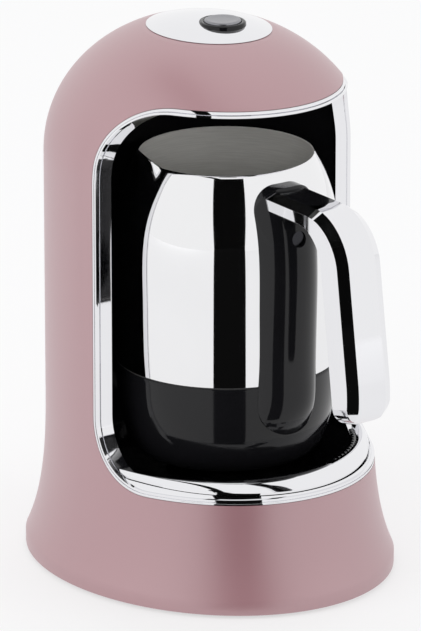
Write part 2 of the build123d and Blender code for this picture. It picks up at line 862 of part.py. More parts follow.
def housing_form(inset, top_z):
    """Turned solid of the pot's plastic base, moved inwards by inset."""
    with BuildPart() as form:
        with BuildSketch(pot_front):
            with BuildLine():
                Polyline((0, top_z), (0, pot_bottom_z), (pot_foot_radius - inset, pot_bottom_z))
                Spline(
                    (pot_foot_radius - inset, pot_bottom_z),
                    (pot_waist_radius - inset, pot_waist_z),
                    (pot_joint_radius - inset, top_z),
                    tangents=[(1, 0.7), (0.03, 1)],
                )
                Line((pot_joint_radius - inset, top_z), (0, top_z))
            make_face()
        revolve(axis=pot_axis)
    return form.part


def beak_block(inset, low_z, high_z):
    """Wedge of the pouring beak, moved inwards by inset, pointing to -X."""
    with BuildPart() as block:
        with BuildSketch(level(low_z, pot_y)) as outline:
            with BuildLine():
                Polyline(
                    (inset * 2 - beak_reach, 0),
                    (-beak_root_radius, beak_half_width - inset),
                    (-mouth_radius / 4, beak_half_width - inset),
                    (-mouth_radius / 4, inset - beak_half_width),
                    (-beak_root_radius, inset - beak_half_width),
                    close=True,
                )
            make_face()
            fillet(outline.vertices().group_by(Axis.X)[0], beak_tip_radius)
        extrude(amount=high_z - low_z)
    return block.part


with BuildPart() as pot_vessel:
    add(vessel_form(0, vessel_floor_z, vessel_neck_radius))
    add(beak_block(0, beak_bottom_z, beak_top_z))
    with BuildSketch(pot_front):
        with BuildLine():
            Polyline(
                (0, mouth_z),
                (-beak_root_radius, mouth_z),
                (-beak_reach, beak_top_z),
                (-beak_reach, tall),
                (0, tall),
                close=True,
            )
        make_face()
    extrude(amount=pot_belly_radius, both=True, mode=Mode.SUBTRACT)
    inner_floor_z = vessel_floor_z + vessel_wall
    add(
        vessel_form(vessel_wall, inner_floor_z, vessel_neck_radius - vessel_wall),
        mode=Mode.SUBTRACT,
    )
    add(beak_block(vessel_wall, beak_bottom_z - vessel_wall, tall), mode=Mode.SUBTRACT)
finish(pot_vessel, "pot_vessel")

# ================================================================ pot: plastic base and heater
housing_top_z = pot_joint_z - seal_height
cover_top_z = pot_bottom_z + cover_thickness
cover_radius = pot_foot_radius - pot_housing_wall - slide_clearance
cover_screw_seat_z = pot_bottom_z + base_screw_head_height
plate_bottom_z = vessel_floor_z - plate_height


def post_places():
    """Places of the three posts round the pot's axis."""
    return PolarLocations(pot_post_at, 3, start_angle=30)


with BuildPart() as pot_posts:
    with BuildSketch(level(cover_top_z, pot_y)):
        with post_places():
            Circle(pot_post_radius)
        with PolarLocations((pot_post_at + pot_waist_radius) / 2, 3, start_angle=30):
            Rectangle(pot_waist_radius - pot_post_at, pot_housing_wall)
    extrude(amount=pot_post_top_z - cover_top_z)
    add(housing_form(pot_housing_wall / 2, housing_top_z), mode=Mode.INTERSECT)
    with BuildSketch(level(cover_top_z, pot_y)):
        with post_places():
            Circle(screw_radius + fit_clearance)
    extrude(amount=pot_screw_length, mode=Mode.SUBTRACT)

with BuildPart() as pot_base_housing:
    add(housing_form(0, housing_top_z))
    add(housing_form(pot_housing_wall, housing_top_z), mode=Mode.SUBTRACT)
    add(pot_posts.part)
finish(pot_base_housing, "pot_base_housing")

with BuildPart() as pot_base_cover:
    with BuildSketch(level(pot_bottom_z, pot_y)):
        Circle(cover_radius)
        Circle(connector_radius + fit_clearance, mode=Mode.SUBTRACT)
    extrude(amount=cover_thickness)
    with BuildSketch(level(pot_bottom_z, pot_y)):
        with post_places():
            Circle(screw_radius + fit_clearance)
    extrude(amount=cover_thickness, mode=Mode.SUBTRACT)
    with BuildSketch(level(pot_bottom_z, pot_y)):
        with post_places():
            Circle(screw_head_radius + slide_clearance)
    extrude(amount=base_screw_head_height, mode=Mode.SUBTRACT)
finish(pot_base_cover, "pot_base_cover")

with BuildPart() as pot_base_screws:
    for place in PolarLocations(pot_post_at, 3, start_angle=30).local_locations:
        x, y = place.position.X, place.position.Y
        add(
            screw(
                level(cover_screw_seat_z, pot_y + y, x),
                screw_radius,
                screw_head_radius,
                base_screw_head_height,
                pot_screw_length,
            )
        )
finish(pot_base_screws, "pot_base_screws")

with BuildPart() as pot_seal_ring:
    with BuildSketch(level(housing_top_z, pot_y)):
        Circle(pot_joint_radius - seal_height / 4)
        Circle(pot_joint_radius - pot_housing_wall, mode=Mode.SUBTRACT)
    extrude(amount=seal_height)
finish(pot_seal_ring, "pot_seal_ring")

with BuildPart() as heating_plate:
    with BuildSketch(level(plate_bottom_z, pot_y)):
        Circle(plate_radius)
    extrude(amount=plate_height)
    chamfer(heating_plate.edges().group_by(Axis.Z)[0], plate_height / 6)
finish(heating_plate, "heating_plate")

element_z = plate_bottom_z - seat_gap - element_radius
tail_bottom_z = element_z - element_radius - element_tail
tail_places = [
    (
        element_ring_radius * cos(radians(angle)),
        pot_y + element_ring_radius * sin(radians(angle)),
    )
    for angle in (element_inset, element_sweep - element_inset)
]

with BuildPart() as heating_element:
    with BuildSketch(pot_front):
        with Locations((element_ring_radius, element_z)):
            Circle(element_radius)
    revolve(axis=pot_axis, revolution_arc=element_sweep)
    with BuildSketch(level(tail_bottom_z)):
        with Locations(*tail_places):
            Circle(element_tail_radius)
    extrude(amount=element_z - tail_bottom_z)
finish(heating_element, "heating_element")

with BuildPart() as thermal_cutout:
    with BuildSketch(level(plate_bottom_z - cutout_height, pot_y)):
        Circle(cutout_radius)
    extrude(amount=cutout_height)
    chamfer(thermal_cutout.edges().group_by(Axis.Z)[0], cutout_height / 5)
finish(thermal_cutout, "thermal_cutout")

with BuildPart() as temperature_probe:
    with BuildSketch(level(plate_bottom_z - probe_height, pot_y + probe_at[1], probe_at[0])):
        Circle(probe_radius)
    extrude(amount=probe_height)
    fillet(temperature_probe.edges().group_by(Axis.Z)[0], probe_radius / 2)
finish(temperature_probe, "temperature_probe")

# spring contacts over the connector's rings and over its earth contact
pin_places = [(-contact_radii[0], pot_y), (contact_radii[1], pot_y), (0, pot_y)]
pin_seats = [contact_top(contact_radii[0]), contact_top(contact_radii[1]), crown_z]
pin_radius = contact_width / 2 - fit_clearance
dish_radius = boss_radius - (pot_lift - dish_clearance) / dish_slope

with BuildPart() as pot_connector:
    with BuildSketch(level(pot_bottom_z, pot_y)):
        Circle(connector_radius)
    extrude(amount=connector_top_z - pot_bottom_z)
    with BuildSketch(level(cover_top_z, pot_y)):
        Circle(connector_radius + connector_flange)
    extrude(amount=connector_flange)
    with BuildSketch(pot_front):
        with BuildLine():
            Polyline(
                (0, 0),
                (dish_radius, 0),
                (dish_radius, pot_bottom_z),
                (boss_crown_radius, crown_z + dish_clearance),
                (0, crown_z + dish_clearance),
                close=True,
            )
        make_face()
    revolve(axis=pot_axis, mode=Mode.SUBTRACT)
    with BuildSketch(level(pot_bottom_z)):
        with Locations(*pin_places):
            Circle(pin_radius + fit_clearance)
    extrude(amount=connector_top_z - pot_bottom_z, mode=Mode.SUBTRACT)
finish(pot_connector, "pot_connector")

with BuildPart() as pot_pins:
    for (x, y), seat_z in zip(pin_places, pin_seats):
        with BuildSketch(level(seat_z + dish_clearance, y, x)):
            Circle(pin_radius)
        extrude(amount=pin_top_z - seat_z - dish_clearance)
finish(pot_pins, "pot_pins")

with BuildPart() as pot_leads:
    with BuildSketch(level(connector_top_z)):
        with Locations(*tail_places):
            Circle(pot_lead_radius)
    extrude(amount=tail_bottom_z - connector_top_z)
finish(pot_leads, "pot_leads")

# ================================================================ handle
crown_places = [
    (pot_foot_radius, pot_waist_z),
    (pot_joint_radius - strip_tuck, (strip_bottom_z + pot_joint_z) / 2),
    (pot_joint_radius, pot_joint_z),
    (pot_belly_radius, pot_belly_z),
    (pot_shoulder_radius, pot_shoulder_z),
    (mouth_radius, mouth_z),
]


def strip_form(grow):
    """Mount strip that follows the pot's side, grown outwards by grow."""
    half_width = strip_half_width + grow
    low_z = strip_bottom_z - grow
    high_z = strip_top_z + grow
    with BuildPart() as form:
        for radius, z in crown_places:
            with BuildSketch(level(z, pot_y - radius - strip_bulge - grow)):
                with BuildLine():
                    ThreePointArc((-half_width, strip_arch), (0, 0), (half_width, strip_arch))
                    Polyline(
                        (half_width, strip_arch),
                        (half_width, strip_root),
                        (-half_width, strip_root),
                        (-half_width, strip_arch),
                    )
                make_face()
        loft()
        with BuildSketch(body_front) as outline:
            with Locations((0, (low_z + high_z) / 2)):
                Rectangle(2 * half_width, high_z - low_z)
            fillet(outline.vertices().group_by(Axis.Y)[0], strip_end_round)
            fillet(outline.vertices().group_by(Axis.Y)[-1], strip_top_round)
        extrude(amount=reach, mode=Mode.INTERSECT)
    return form.part


def grip_form(inset, half_width, inner_grow, edge):
    """Hooked solid of the grip in side view.

    The outer side moves inwards by inset and the side towards the pot outwards by
    inner_grow; the long edges are bevelled by edge.
    """
    top = handle_top_z - inset
    outer_top = (grip_top_y + inset, top)
    bend = (inset - handle_reach, grip_bend_z)
    heel = (inset - handle_reach, grip_end_z + grip_toe_rise + inset)
    toe_slope = grip_toe_rise / (handle_reach + grip_inner_end_y)
    toe = (grip_inner_end_y + inner_grow, grip_end_z + inset - inner_grow * toe_slope)
    inner_top = (grip_inner_top_y + inner_grow, handle_under_z - inner_grow)
    rounds = (
        (outer_top, grip_outer_round - inset),
        (bend, grip_bend_round - inset),
        (heel, grip_end_round - inset),
        (toe, grip_toe_round - inset),
        (inner_top, grip_inner_round - inner_grow),
    )
    with BuildPart() as form:
        with BuildSketch(body_side) as outline:
            with BuildLine():
                Polyline(
                    (head_root_y, top),
                    outer_top,
                    bend,
                    heel,
                    toe,
                    inner_top,
                    (head_root_y, handle_under_z - inner_grow),
                    close=True,
                )
            make_face()
            for corner, radius in rounds:
                fillet(outline.vertices().sort_by_distance((*corner, 0))[0], radius)
        extrude(amount=half_width, both=True)
        if edge:
            sides = form.faces().sort_by(Axis.X)
            chamfer(sides[0].edges() + sides[-1].edges(), edge)
    return form.part


def window_block(half_width, front_y, low_z):
    """Upright block of the window in the top of the handle's head."""
    with BuildPart() as block:
        with BuildSketch(level(low_z)) as outline:
            with Locations((0, (head_root_y + front_y) / 2)):
                Rectangle(2 * half_width, head_root_y - front_y)
            fillet(outline.vertices().group_by(Axis.Y)[0], half_width / 2)
        extrude(amount=tall - low_z)
    return block.part


def split_block(split_y):
    """Block of everything that lies in front of split_y."""
    with BuildPart() as block:
        with BuildSketch(level(0, split_y - reach / 2)):
            Rectangle(reach, reach)
        extrude(amount=tall)
    return block.part


screw_place = Plane((0, body_y, handle_screw_z), x_dir=(1, 0, 0), z_dir=(0, 1, 0))
stud_end = pot_shoulder_radius + stud_length - pot_y
screw_seat = pot_shoulder_radius + strip_bulge - recess_depth - pot_y
half_grip = grip_width / 2
cavity_half = half_grip - shell_skin
shell_outer = grip_form(0, half_grip, 0, grip_edge)
shell_cavity = grip_form(shell_skin, cavity_half, strip_bulge, grip_edge - shell_skin)
filling = grip_form(
    shell_skin + strip_clearance, cavity_half - strip_clearance, 0, grip_edge - shell_skin
)

with BuildPart() as handle_mount:
    add(strip_form(0))
    add(filling)
    add(split_block(window_front_y), mode=Mode.SUBTRACT)
    with BuildPart(mode=Mode.PRIVATE) as pad:
        add(
            window_block(
                window_half_width - strip_clearance,
                window_front_y + strip_clearance,
                handle_under_z + shell_skin,
            )
        )
        add(shell_outer, mode=Mode.INTERSECT)
    add(pad.part)
    add(vessel_form(-strip_clearance, vessel_floor_z, vessel_neck_radius), mode=Mode.SUBTRACT)
    add(housing_form(-strip_clearance, pot_joint_z), mode=Mode.SUBTRACT)
    with BuildSketch(screw_place.offset(-screw_seat)):
        Circle(handle_screw_head_radius + slide_clearance)
    extrude(amount=-reach, mode=Mode.SUBTRACT)
    with BuildSketch(screw_place.offset(-screw_seat)):
        Circle(handle_screw_radius + fit_clearance)
    extrude(amount=strip_bulge, mode=Mode.SUBTRACT)
    with BuildSketch(screw_place.offset(-stud_end - seat_gap)):
        Circle(stud_radius + fit_clearance)
    extrude(amount=strip_bulge, mode=Mode.SUBTRACT)
finish(handle_mount, "handle_mount")

with BuildPart() as handle_stud:
    with BuildSketch(screw_place.offset(-stud_end)):
        Circle(stud_radius)
    extrude(amount=2 * stud_length)
    with BuildSketch(screw_place.offset(-stud_end)):
        Circle(handle_screw_radius + fit_clearance)
    extrude(amount=stud_length, mode=Mode.SUBTRACT)
    add(vessel_form(0, vessel_floor_z, vessel_neck_radius), mode=Mode.SUBTRACT)
finish(handle_stud, "handle_stud")

with BuildPart() as handle_screw:
    add(
        screw(
            screw_place.offset(-screw_seat),
            handle_screw_radius,
            handle_screw_head_radius,
            handle_screw_head_height,
            screw_seat - stud_end + stud_length / 2,
        )
    )
finish(handle_screw, "handle_screw")

grip_side = (grip_screw_z - grip_end_z) / (handle_under_z - grip_end_z)
grip_inner_y = grip_inner_end_y + (grip_inner_top_y - grip_inner_end_y) * grip_side
grip_screw_place = Plane(
    (0, body_y + grip_inner_y - grip_screw_seat, grip_screw_z), x_dir=(1, 0, 0), z_dir=(0, -1, 0)
)
grip_boss_place = Plane(
    (0, body_y - handle_reach + shell_skin / 2, grip_screw_z), x_dir=(1, 0, 0), z_dir=(0, 1, 0)
)

with BuildPart() as handle_shell:
    add(shell_outer)
    add(shell_cavity, mode=Mode.SUBTRACT)
    add(window_block(window_half_width, window_front_y, handle_under_z), mode=Mode.SUBTRACT)
    add(strip_form(strip_clearance), mode=Mode.SUBTRACT)
    with BuildSketch(grip_boss_place):
        Circle(grip_boss_radius)
    extrude(amount=grip_boss_height)
    with BuildSketch(grip_boss_place.offset(shell_skin)):
        Circle(screw_radius + fit_clearance)
    extrude(amount=grip_boss_height, mode=Mode.SUBTRACT)
finish(handle_shell, "handle_shell")

with BuildPart() as handle_core:
    add(filling)
    add(split_block(window_front_y), mode=Mode.INTERSECT)
    with BuildSketch(grip_boss_place):
        Circle(grip_boss_radius + fit_clearance)
    extrude(amount=grip_boss_height + seat_gap, mode=Mode.SUBTRACT)
    with BuildSketch(grip_screw_place):
        Circle(screw_radius + fit_clearance)
    extrude(amount=grip_screw_length, mode=Mode.SUBTRACT)
    with BuildSketch(grip_screw_place):
        Circle(screw_head_radius + slide_clearance)
    extrude(amount=-grip_width, mode=Mode.SUBTRACT)
finish(handle_core, "handle_core")

with BuildPart() as grip_screw:
    add(
        screw(
            grip_screw_place, screw_radius, screw_head_radius, screw_head_height, grip_screw_length
        )
    )
finish(grip_screw, "grip_screw")
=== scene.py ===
"""Looks of an electric Turkish coffee maker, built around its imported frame."""
import json
import logging
from dataclasses import dataclass
from enum import Enum
from functools import cache
from math import cos, pi, radians, sin, sqrt, tan
from typing import Sequence

import bmesh
import bpy
import numpy as np
from mathutils import Matrix, Vector


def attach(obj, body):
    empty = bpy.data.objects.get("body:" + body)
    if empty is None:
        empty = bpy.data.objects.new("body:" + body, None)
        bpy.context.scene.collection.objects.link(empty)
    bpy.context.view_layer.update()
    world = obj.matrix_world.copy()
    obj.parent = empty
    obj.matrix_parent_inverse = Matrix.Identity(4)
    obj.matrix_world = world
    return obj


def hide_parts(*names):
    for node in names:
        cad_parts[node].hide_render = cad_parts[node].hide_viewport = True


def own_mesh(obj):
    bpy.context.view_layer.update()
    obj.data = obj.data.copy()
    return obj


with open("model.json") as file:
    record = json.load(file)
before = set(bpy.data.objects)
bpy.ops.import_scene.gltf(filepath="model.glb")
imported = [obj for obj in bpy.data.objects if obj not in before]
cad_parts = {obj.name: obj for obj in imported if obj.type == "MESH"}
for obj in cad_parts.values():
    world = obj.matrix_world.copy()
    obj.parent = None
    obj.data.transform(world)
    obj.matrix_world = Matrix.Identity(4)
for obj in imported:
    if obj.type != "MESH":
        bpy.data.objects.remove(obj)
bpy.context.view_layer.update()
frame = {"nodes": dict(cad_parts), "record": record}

log = logging.getLogger("coffee_maker")
MM = 0.001
X, Y, Z = range(3)
FAR = 200 * MM  # cutting blocks reach this far past the machine
TOUCH = 1e-6
Point = tuple[float, float]
Place = tuple[float, float, float]
Colour = tuple[float, float, float]
Piece = bpy.types.Object
Material = bpy.types.Material
Socket = bpy.types.NodeSocket


class Side(Enum):
    """Bodies that the pieces ride on."""

    MACHINE = "machine"
    BUTTON = "button"
    POT = "pot"


class Join(Enum):
    """Ways to combine two solids."""

    CUT = "DIFFERENCE"
    ADD = "UNION"
    KEEP = "INTERSECT"


# ------------------------------------------------------------------ shader kit
class Value:
    """Number socket of a shader tree that takes part in Python expressions."""

    def __init__(self, tree: bpy.types.NodeTree, socket: Socket) -> None:
        """Keep the tree and the socket.

        Args:
            tree: Node tree that the socket belongs to.
            socket: Output socket with a number.
        """
        self.tree = tree
        self.socket = socket

    def math(self, operation: str, *others: "Value | float", swap: bool = False) -> "Value":
        """Add one Math node.

        Args:
            operation: Math node operation.
            others: Further operands.
            swap: Puts this value after the first operand.

        Returns:
            The node's result.
        """
        node = self.tree.nodes.new("ShaderNodeMath")
        node.operation = operation
        operands: list[Value | float] = [self, *others]
        if swap:
            operands[0], operands[1] = operands[1], operands[0]
        for place, operand in zip(node.inputs, operands):
            if isinstance(operand, Value):
                self.tree.links.new(operand.socket, place)
            else:
                place.default_value = operand
        return Value(self.tree, node.outputs[0])

    def __add__(self, other: "Value | float") -> "Value":
        """Sum."""
        return self.math("ADD", other)

    __radd__ = __add__

    def __sub__(self, other: "Value | float") -> "Value":
        """Difference."""
        return self.math("SUBTRACT", other)

    def __rsub__(self, other: float) -> "Value":
        """Difference with the number first."""
        return self.math("SUBTRACT", other, swap=True)

    def __mul__(self, other: "Value | float") -> "Value":
        """Product."""
        return self.math("MULTIPLY", other)

    __rmul__ = __mul__

    def swing(self, width: float) -> "Value":
        """Swing about nought, for a value that swings about one half."""
        return (self - 0.5) * width

    def ramp(self, low: float, high: float) -> "Value":
        """Share of the way from low to high, held between 0 and 1."""
        node = self.tree.nodes.new("ShaderNodeMapRange")
        node.inputs["From Min"].default_value = low
        node.inputs["From Max"].default_value = high
        self.tree.links.new(self.socket, node.inputs["Value"])
        return Value(self.tree, node.outputs["Result"])


Input = Value | Socket | float | tuple[float, ...]


class Recipe:
    """One material while its nodes are laid out."""

    def __init__(self, name: str) -> None:
        """Start an empty material with a principled shader.

        Args:
            name: Name of the material.
        """
        self.material = bpy.data.materials.new(name)
        self.material.use_nodes = True
        self.tree = self.material.node_tree
        self.tree.nodes.clear()
        self.output = self.tree.nodes.new("ShaderNodeOutputMaterial")
        self.shader = self.node("ShaderNodeBsdfPrincipled")
        self.tree.links.new(self.shader.outputs[0], self.output.inputs["Surface"])

    def node(
        self,
        kind: str,
        settings: dict[str, object] | None = None,
        values: dict[str | int, Input] | None = None,
    ) -> bpy.types.Node:
        """Add a node.

        Args:
            kind: Type of the node.
            settings: Attributes of the node, set before its sockets.
            values: Numbers, colours or links for its input sockets.

        Returns:
            The new node.
        """
        node = self.tree.nodes.new(kind)
        for key, setting in (settings or {}).items():
            setattr(node, key, setting)
        for key, value in (values or {}).items():
            self.feed(node.inputs[key], value)
        return node

    def feed(self, place: Socket, value: Input) -> None:
        """Set or link one input socket.

        Args:
            place: Input socket.
            value: Number, colour, vector, output socket or expression.
        """
        if isinstance(value, Value):
            self.tree.links.new(value.socket, place)
        elif isinstance(value, Socket):
            self.tree.links.new(value, place)
        else:
            place.default_value = value

    def place(self) -> Socket:
        """Object coordinates."""
        return self.node("ShaderNodeTexCoord").outputs["Object"]

    def stretched(self, scale: Place, centre: Place = (0, 0, 0)) -> Socket:
        """Object coordinates from a centre, scaled along each axis."""
        where = self.place()
        for operation, amount in (("SUBTRACT", centre), ("MULTIPLY", scale)):
            settings, values = {"operation": operation}, {0: where, 1: amount}
            where = self.node("ShaderNodeVectorMath", settings, values).outputs[0]
        return where

    def noise(
        self, scale: float, detail: float = 2.0, where: Socket | None = None
    ) -> Value:
        """Noise between 0 and 1.

        Args:
            scale: Cells per metre.
            detail: Number of finer layers.
            where: Coordinates, or Object coordinates if left out.

        Returns:
            The noise.
        """
        node = self.node(
            "ShaderNodeTexNoise",
            values={"Vector": where or self.place(), "Scale": scale, "Detail": detail},
        )
        return Value(self.tree, node.outputs[0])

    def mix(self, share: Input, first: Input, second: Input) -> Socket:
        """Colour between two colours."""
        node = self.node("ShaderNodeMix", {"data_type": "RGBA"})
        self.feed(node.inputs[0], share)
        self.feed(node.inputs[6], first)
        self.feed(node.inputs[7], second)
        return node.outputs[2]

    def tint(self, colour: Colour, tone: Input, low: float, high: float) -> Socket:
        """Colour that runs from low to high times its own value as the tone rises."""
        return self.mix(tone, rgba(colour, low), rgba(colour, high))

    def radius(self, centre: Place) -> Value:
        """Distance from an upright axis."""
        flat = self.stretched((1, 1, 0), centre)
        length = self.node("ShaderNodeVectorMath", {"operation": "LENGTH"}, {0: flat})
        return Value(self.tree, length.outputs["Value"])

    def bump(self, height: Value, distance: float, strength: float = 1.0) -> Socket:
        """Normal from a height map, with its depth in metres."""
        node = self.node(
            "ShaderNodeBump",
            values={"Strength": strength, "Distance": distance, "Height": height},
        )
        return node.outputs[0]

    def finish(self, **sockets: Input) -> Material:
        """Feed the shader's sockets, with spaces as underscores.

        Args:
            sockets: Values of the principled shader's inputs.

        Returns:
            The finished material.
        """
        for key, value in sockets.items():
            self.feed(self.shader.inputs[key.replace("_", " ")], value)
        return self.material


def rgba(colour: Colour, gain: float = 1.0) -> tuple[float, float, float, float]:
    """Linear colour with full alpha, made lighter or darker by gain."""
    return (colour[0] * gain, colour[1] * gain, colour[2] * gain, 1.0)


# ------------------------------------------------------------------ finishes
@dataclass(frozen=True)
class Finish:
    """Finish of one kind of surface, with its noise in cells per metre and its depths in metres."""

    name: str

    def sockets(self, recipe: Recipe) -> dict[str, Input]:
        """Lay out the nodes of the finish.

        Args:
            recipe: Material that is being made.

        Returns:
            Inputs of its principled shader, with spaces as underscores.
        """
        raise NotImplementedError(self.name)

    def build(self) -> Material:
        """Material of this finish."""
        recipe = Recipe(self.name)
        return recipe.finish(**self.sockets(recipe))


@dataclass(frozen=True)
class SatinPaint(Finish):
    """Satin lacquer with a fine pearl grain over moulded plastic."""

    colour: Colour
    roughness: float = 0.42
    coat_index: float = 2.75
    grain: float = 2600.0
    cloud: float = 14.0
    depth: float = 0.00001

    def sockets(self, recipe: Recipe) -> dict[str, Input]:
        """Pearl grain over slow clouds, under a clear coat."""
        grain = recipe.noise(self.grain)
        cloud = recipe.noise(self.cloud, 3)
        tone = grain.swing(0.10) + cloud.swing(0.05) + 0.5
        return dict(
            Base_Color=recipe.tint(self.colour, tone, 0.86, 1.14),
            Roughness=cloud.swing(0.06) + grain.swing(0.05) + self.roughness,
            Coat_Weight=1.0,
            Coat_IOR=self.coat_index,
            Coat_Roughness=self.roughness,
            Normal=recipe.bump(grain, self.depth, 0.35),
        )


@dataclass(frozen=True)
class Plating(Finish):
    """Bright plated metal with faint smudges."""

    colour: Colour = (0.82, 0.82, 0.84)
    roughness: float = 0.035
    smudge: float = 0.05
    cloud: float = 30.0
    wipe: float = 60.0
    wipe_stretch: Place = (1.0, 1.0, 0.15)
    ripple: float = 45.0
    depth: float = 0.00002

    def sockets(self, recipe: Recipe) -> dict[str, Input]:
        """Smudges that were wiped upwards, and a slow ripple."""
        cloud = recipe.noise(self.cloud, 4)
        wipe = recipe.noise(self.wipe, 2, recipe.stretched(self.wipe_stretch))
        return dict(
            Base_Color=recipe.tint(self.colour, cloud.swing(0.3) + 0.5, 0.97, 1.03),
            Metallic=1.0,
            Roughness=cloud.ramp(0.45, 0.85) * wipe * self.smudge + self.roughness,
            Normal=recipe.bump(recipe.noise(self.ripple, 1), self.depth, 0.12),
        )


@dataclass(frozen=True)
class PolishedPlastic(Finish):
    """Polished moulded plastic with faint handling marks."""

    colour: Colour
    roughness: float = 0.06
    coat: float = 0.0
    shine: float = 0.33
    cloud: float = 35.0
    marks: float = 900.0
    ripple: float = 60.0
    depth: float = 0.00002

    def sockets(self, recipe: Recipe) -> dict[str, Input]:
        """Cloudy gloss with fine marks, and a slow ripple."""
        cloud = recipe.noise(self.cloud, 4)
        marks = recipe.noise(self.marks)
        return dict(
            Base_Color=recipe.tint(self.colour, cloud, 0.8, 1.2),
            Roughness=cloud.ramp(0.4, 0.9) * 0.05 + marks * 0.02 + self.roughness,
            Coat_Weight=self.coat,
            Specular_IOR_Level=self.shine,
            Normal=recipe.bump(recipe.noise(self.ripple, 1), self.depth, 0.10),
        )


@dataclass(frozen=True)
class MouldedPlastic(Finish):
    """Unpolished moulded plastic or rubber with an eroded grain."""

    colour: Colour
    roughness: float = 0.55
    grain: float = 1800.0
    cloud: float = 40.0
    depth: float = 0.00004

    def sockets(self, recipe: Recipe) -> dict[str, Input]:
        """Even grain with slow clouds."""
        grain = recipe.noise(self.grain, 3)
        cloud = recipe.noise(self.cloud, 3)
        tone = cloud.swing(0.5) + grain.swing(0.3) + 0.5
        return dict(
            Base_Color=recipe.tint(self.colour, tone, 0.8, 1.2),
            Roughness=grain.swing(0.2) + self.roughness,
            Normal=recipe.bump(grain, self.depth, 0.6),
        )


@dataclass(frozen=True)
class WorkedMetal(Finish):
    """Turned, drawn or cast metal part."""

    colour: Colour
    roughness: float = 0.3
    stretch: Place = (1.0, 1.0, 12.0)
    lines: float = 500.0
    cloud: float = 60.0
    depth: float = 0.00002

    def sockets(self, recipe: Recipe) -> dict[str, Input]:
        """Fine tool lines with slow clouds."""
        lines = recipe.noise(self.lines, 2, recipe.stretched(self.stretch))
        cloud = recipe.noise(self.cloud, 3)
        tone = cloud.swing(0.6) + lines.swing(0.3) + 0.5
        return dict(
            Base_Color=recipe.tint(self.colour, tone, 0.82, 1.1),
            Metallic=1.0,
            Roughness=lines.swing(0.2) + cloud.swing(0.1) + self.roughness,
            Normal=recipe.bump(lines, self.depth, 0.4),
        )


@dataclass(frozen=True)
class PotSteel(Finish):
    """Steel that is polished outside and brushed in rings inside."""

    centre: Place
    bright: tuple[Colour, Colour] = ((0.83, 0.83, 0.84), (0.87, 0.87, 0.88))
    brushed: tuple[Colour, Colour] = ((0.66, 0.65, 0.62), (0.90, 0.89, 0.86))
    roughness: Point = (0.03, 0.36)
    rings: float = 1500.0
    ring_stretch: Place = (0.05, 0.05, 1.0)
    cloud: float = 28.0
    depth: float = 0.00003

    def sockets(self, recipe: Recipe) -> dict[str, Input]:
        """Two finishes that the attribute inner tells apart."""
        marked = recipe.node("ShaderNodeAttribute", {"attribute_name": "inner"})
        inner = Value(recipe.tree, marked.outputs["Fac"])
        rings = recipe.noise(self.rings, 2, recipe.stretched(self.ring_stretch, self.centre))
        cloud = recipe.noise(self.cloud, 4)
        bright = recipe.mix(cloud, *map(rgba, self.bright))
        brushed = recipe.mix(rings, *map(rgba, self.brushed))
        outside = cloud.ramp(0.45, 0.85) * 0.04 + self.roughness[0]
        inside = rings * 0.2 + self.roughness[1]
        return dict(
            Base_Color=recipe.mix(inner, bright, brushed),
            Metallic=1.0 - inner,
            Roughness=outside + (inside - outside) * inner,
            Normal=recipe.bump(rings * inner, self.depth, 0.5),
        )


@dataclass(frozen=True)
class SpunKey(Finish):
    """Satin metal key with fine rings round its middle."""

    colour: Colour
    centre: Place
    roughness: float = 0.26
    rings: float = 9000.0
    cloud: float = 150.0
    depth: float = 0.00001

    def sockets(self, recipe: Recipe) -> dict[str, Input]:
        """Rings that a tool left round the middle."""
        rings = (recipe.radius(self.centre) * self.rings).math("SINE") * 0.5 + 0.5
        cloud = recipe.noise(self.cloud, 3)
        return dict(
            Base_Color=recipe.tint(self.colour, cloud, 0.9, 1.1),
            Metallic=1.0,
            Roughness=rings * 0.06 + cloud * 0.08 + self.roughness,
            Normal=recipe.bump(rings, self.depth, 0.3),
        )


@dataclass(frozen=True)
class Laminate(Finish):
    """Circuit board with lacquer over its copper."""

    colour: Colour
    roughness: float = 0.22
    traces: float = 160.0
    depth: float = 0.00003

    def sockets(self, recipe: Recipe) -> dict[str, Input]:
        """Copper traces between dark fields."""
        bricks = recipe.node(
            "ShaderNodeTexBrick",
            {"offset": 0.35},
            {
                "Vector": recipe.place(),
                "Scale": self.traces,
                "Mortar Size": 0.02,
                "Color1": rgba(self.colour, 0.8),
                "Color2": rgba(self.colour, 1.1),
                "Mortar": rgba(self.colour, 2.2),
            },
        )
        traces = Value(recipe.tree, bricks.outputs["Fac"])
        return dict(
            Base_Color=bricks.outputs["Color"],
            Roughness=traces * 0.15 + self.roughness,
            Normal=recipe.bump(traces, self.depth, 0.5),
        )


@dataclass(frozen=True)
class ClearLens(Finish):
    """Clear moulded lens."""

    tones: tuple[Colour, Colour] = ((0.80, 0.84, 0.86), (0.92, 0.95, 0.96))
    roughness: float = 0.04
    cloud: float = 200.0

    def sockets(self, recipe: Recipe) -> dict[str, Input]:
        """Faint clouds in clear plastic."""
        cloud = recipe.noise(self.cloud)
        return dict(
            Base_Color=recipe.mix(cloud, *map(rgba, self.tones)),
            Roughness=cloud * 0.05 + self.roughness,
            Transmission_Weight=0.8,
        )


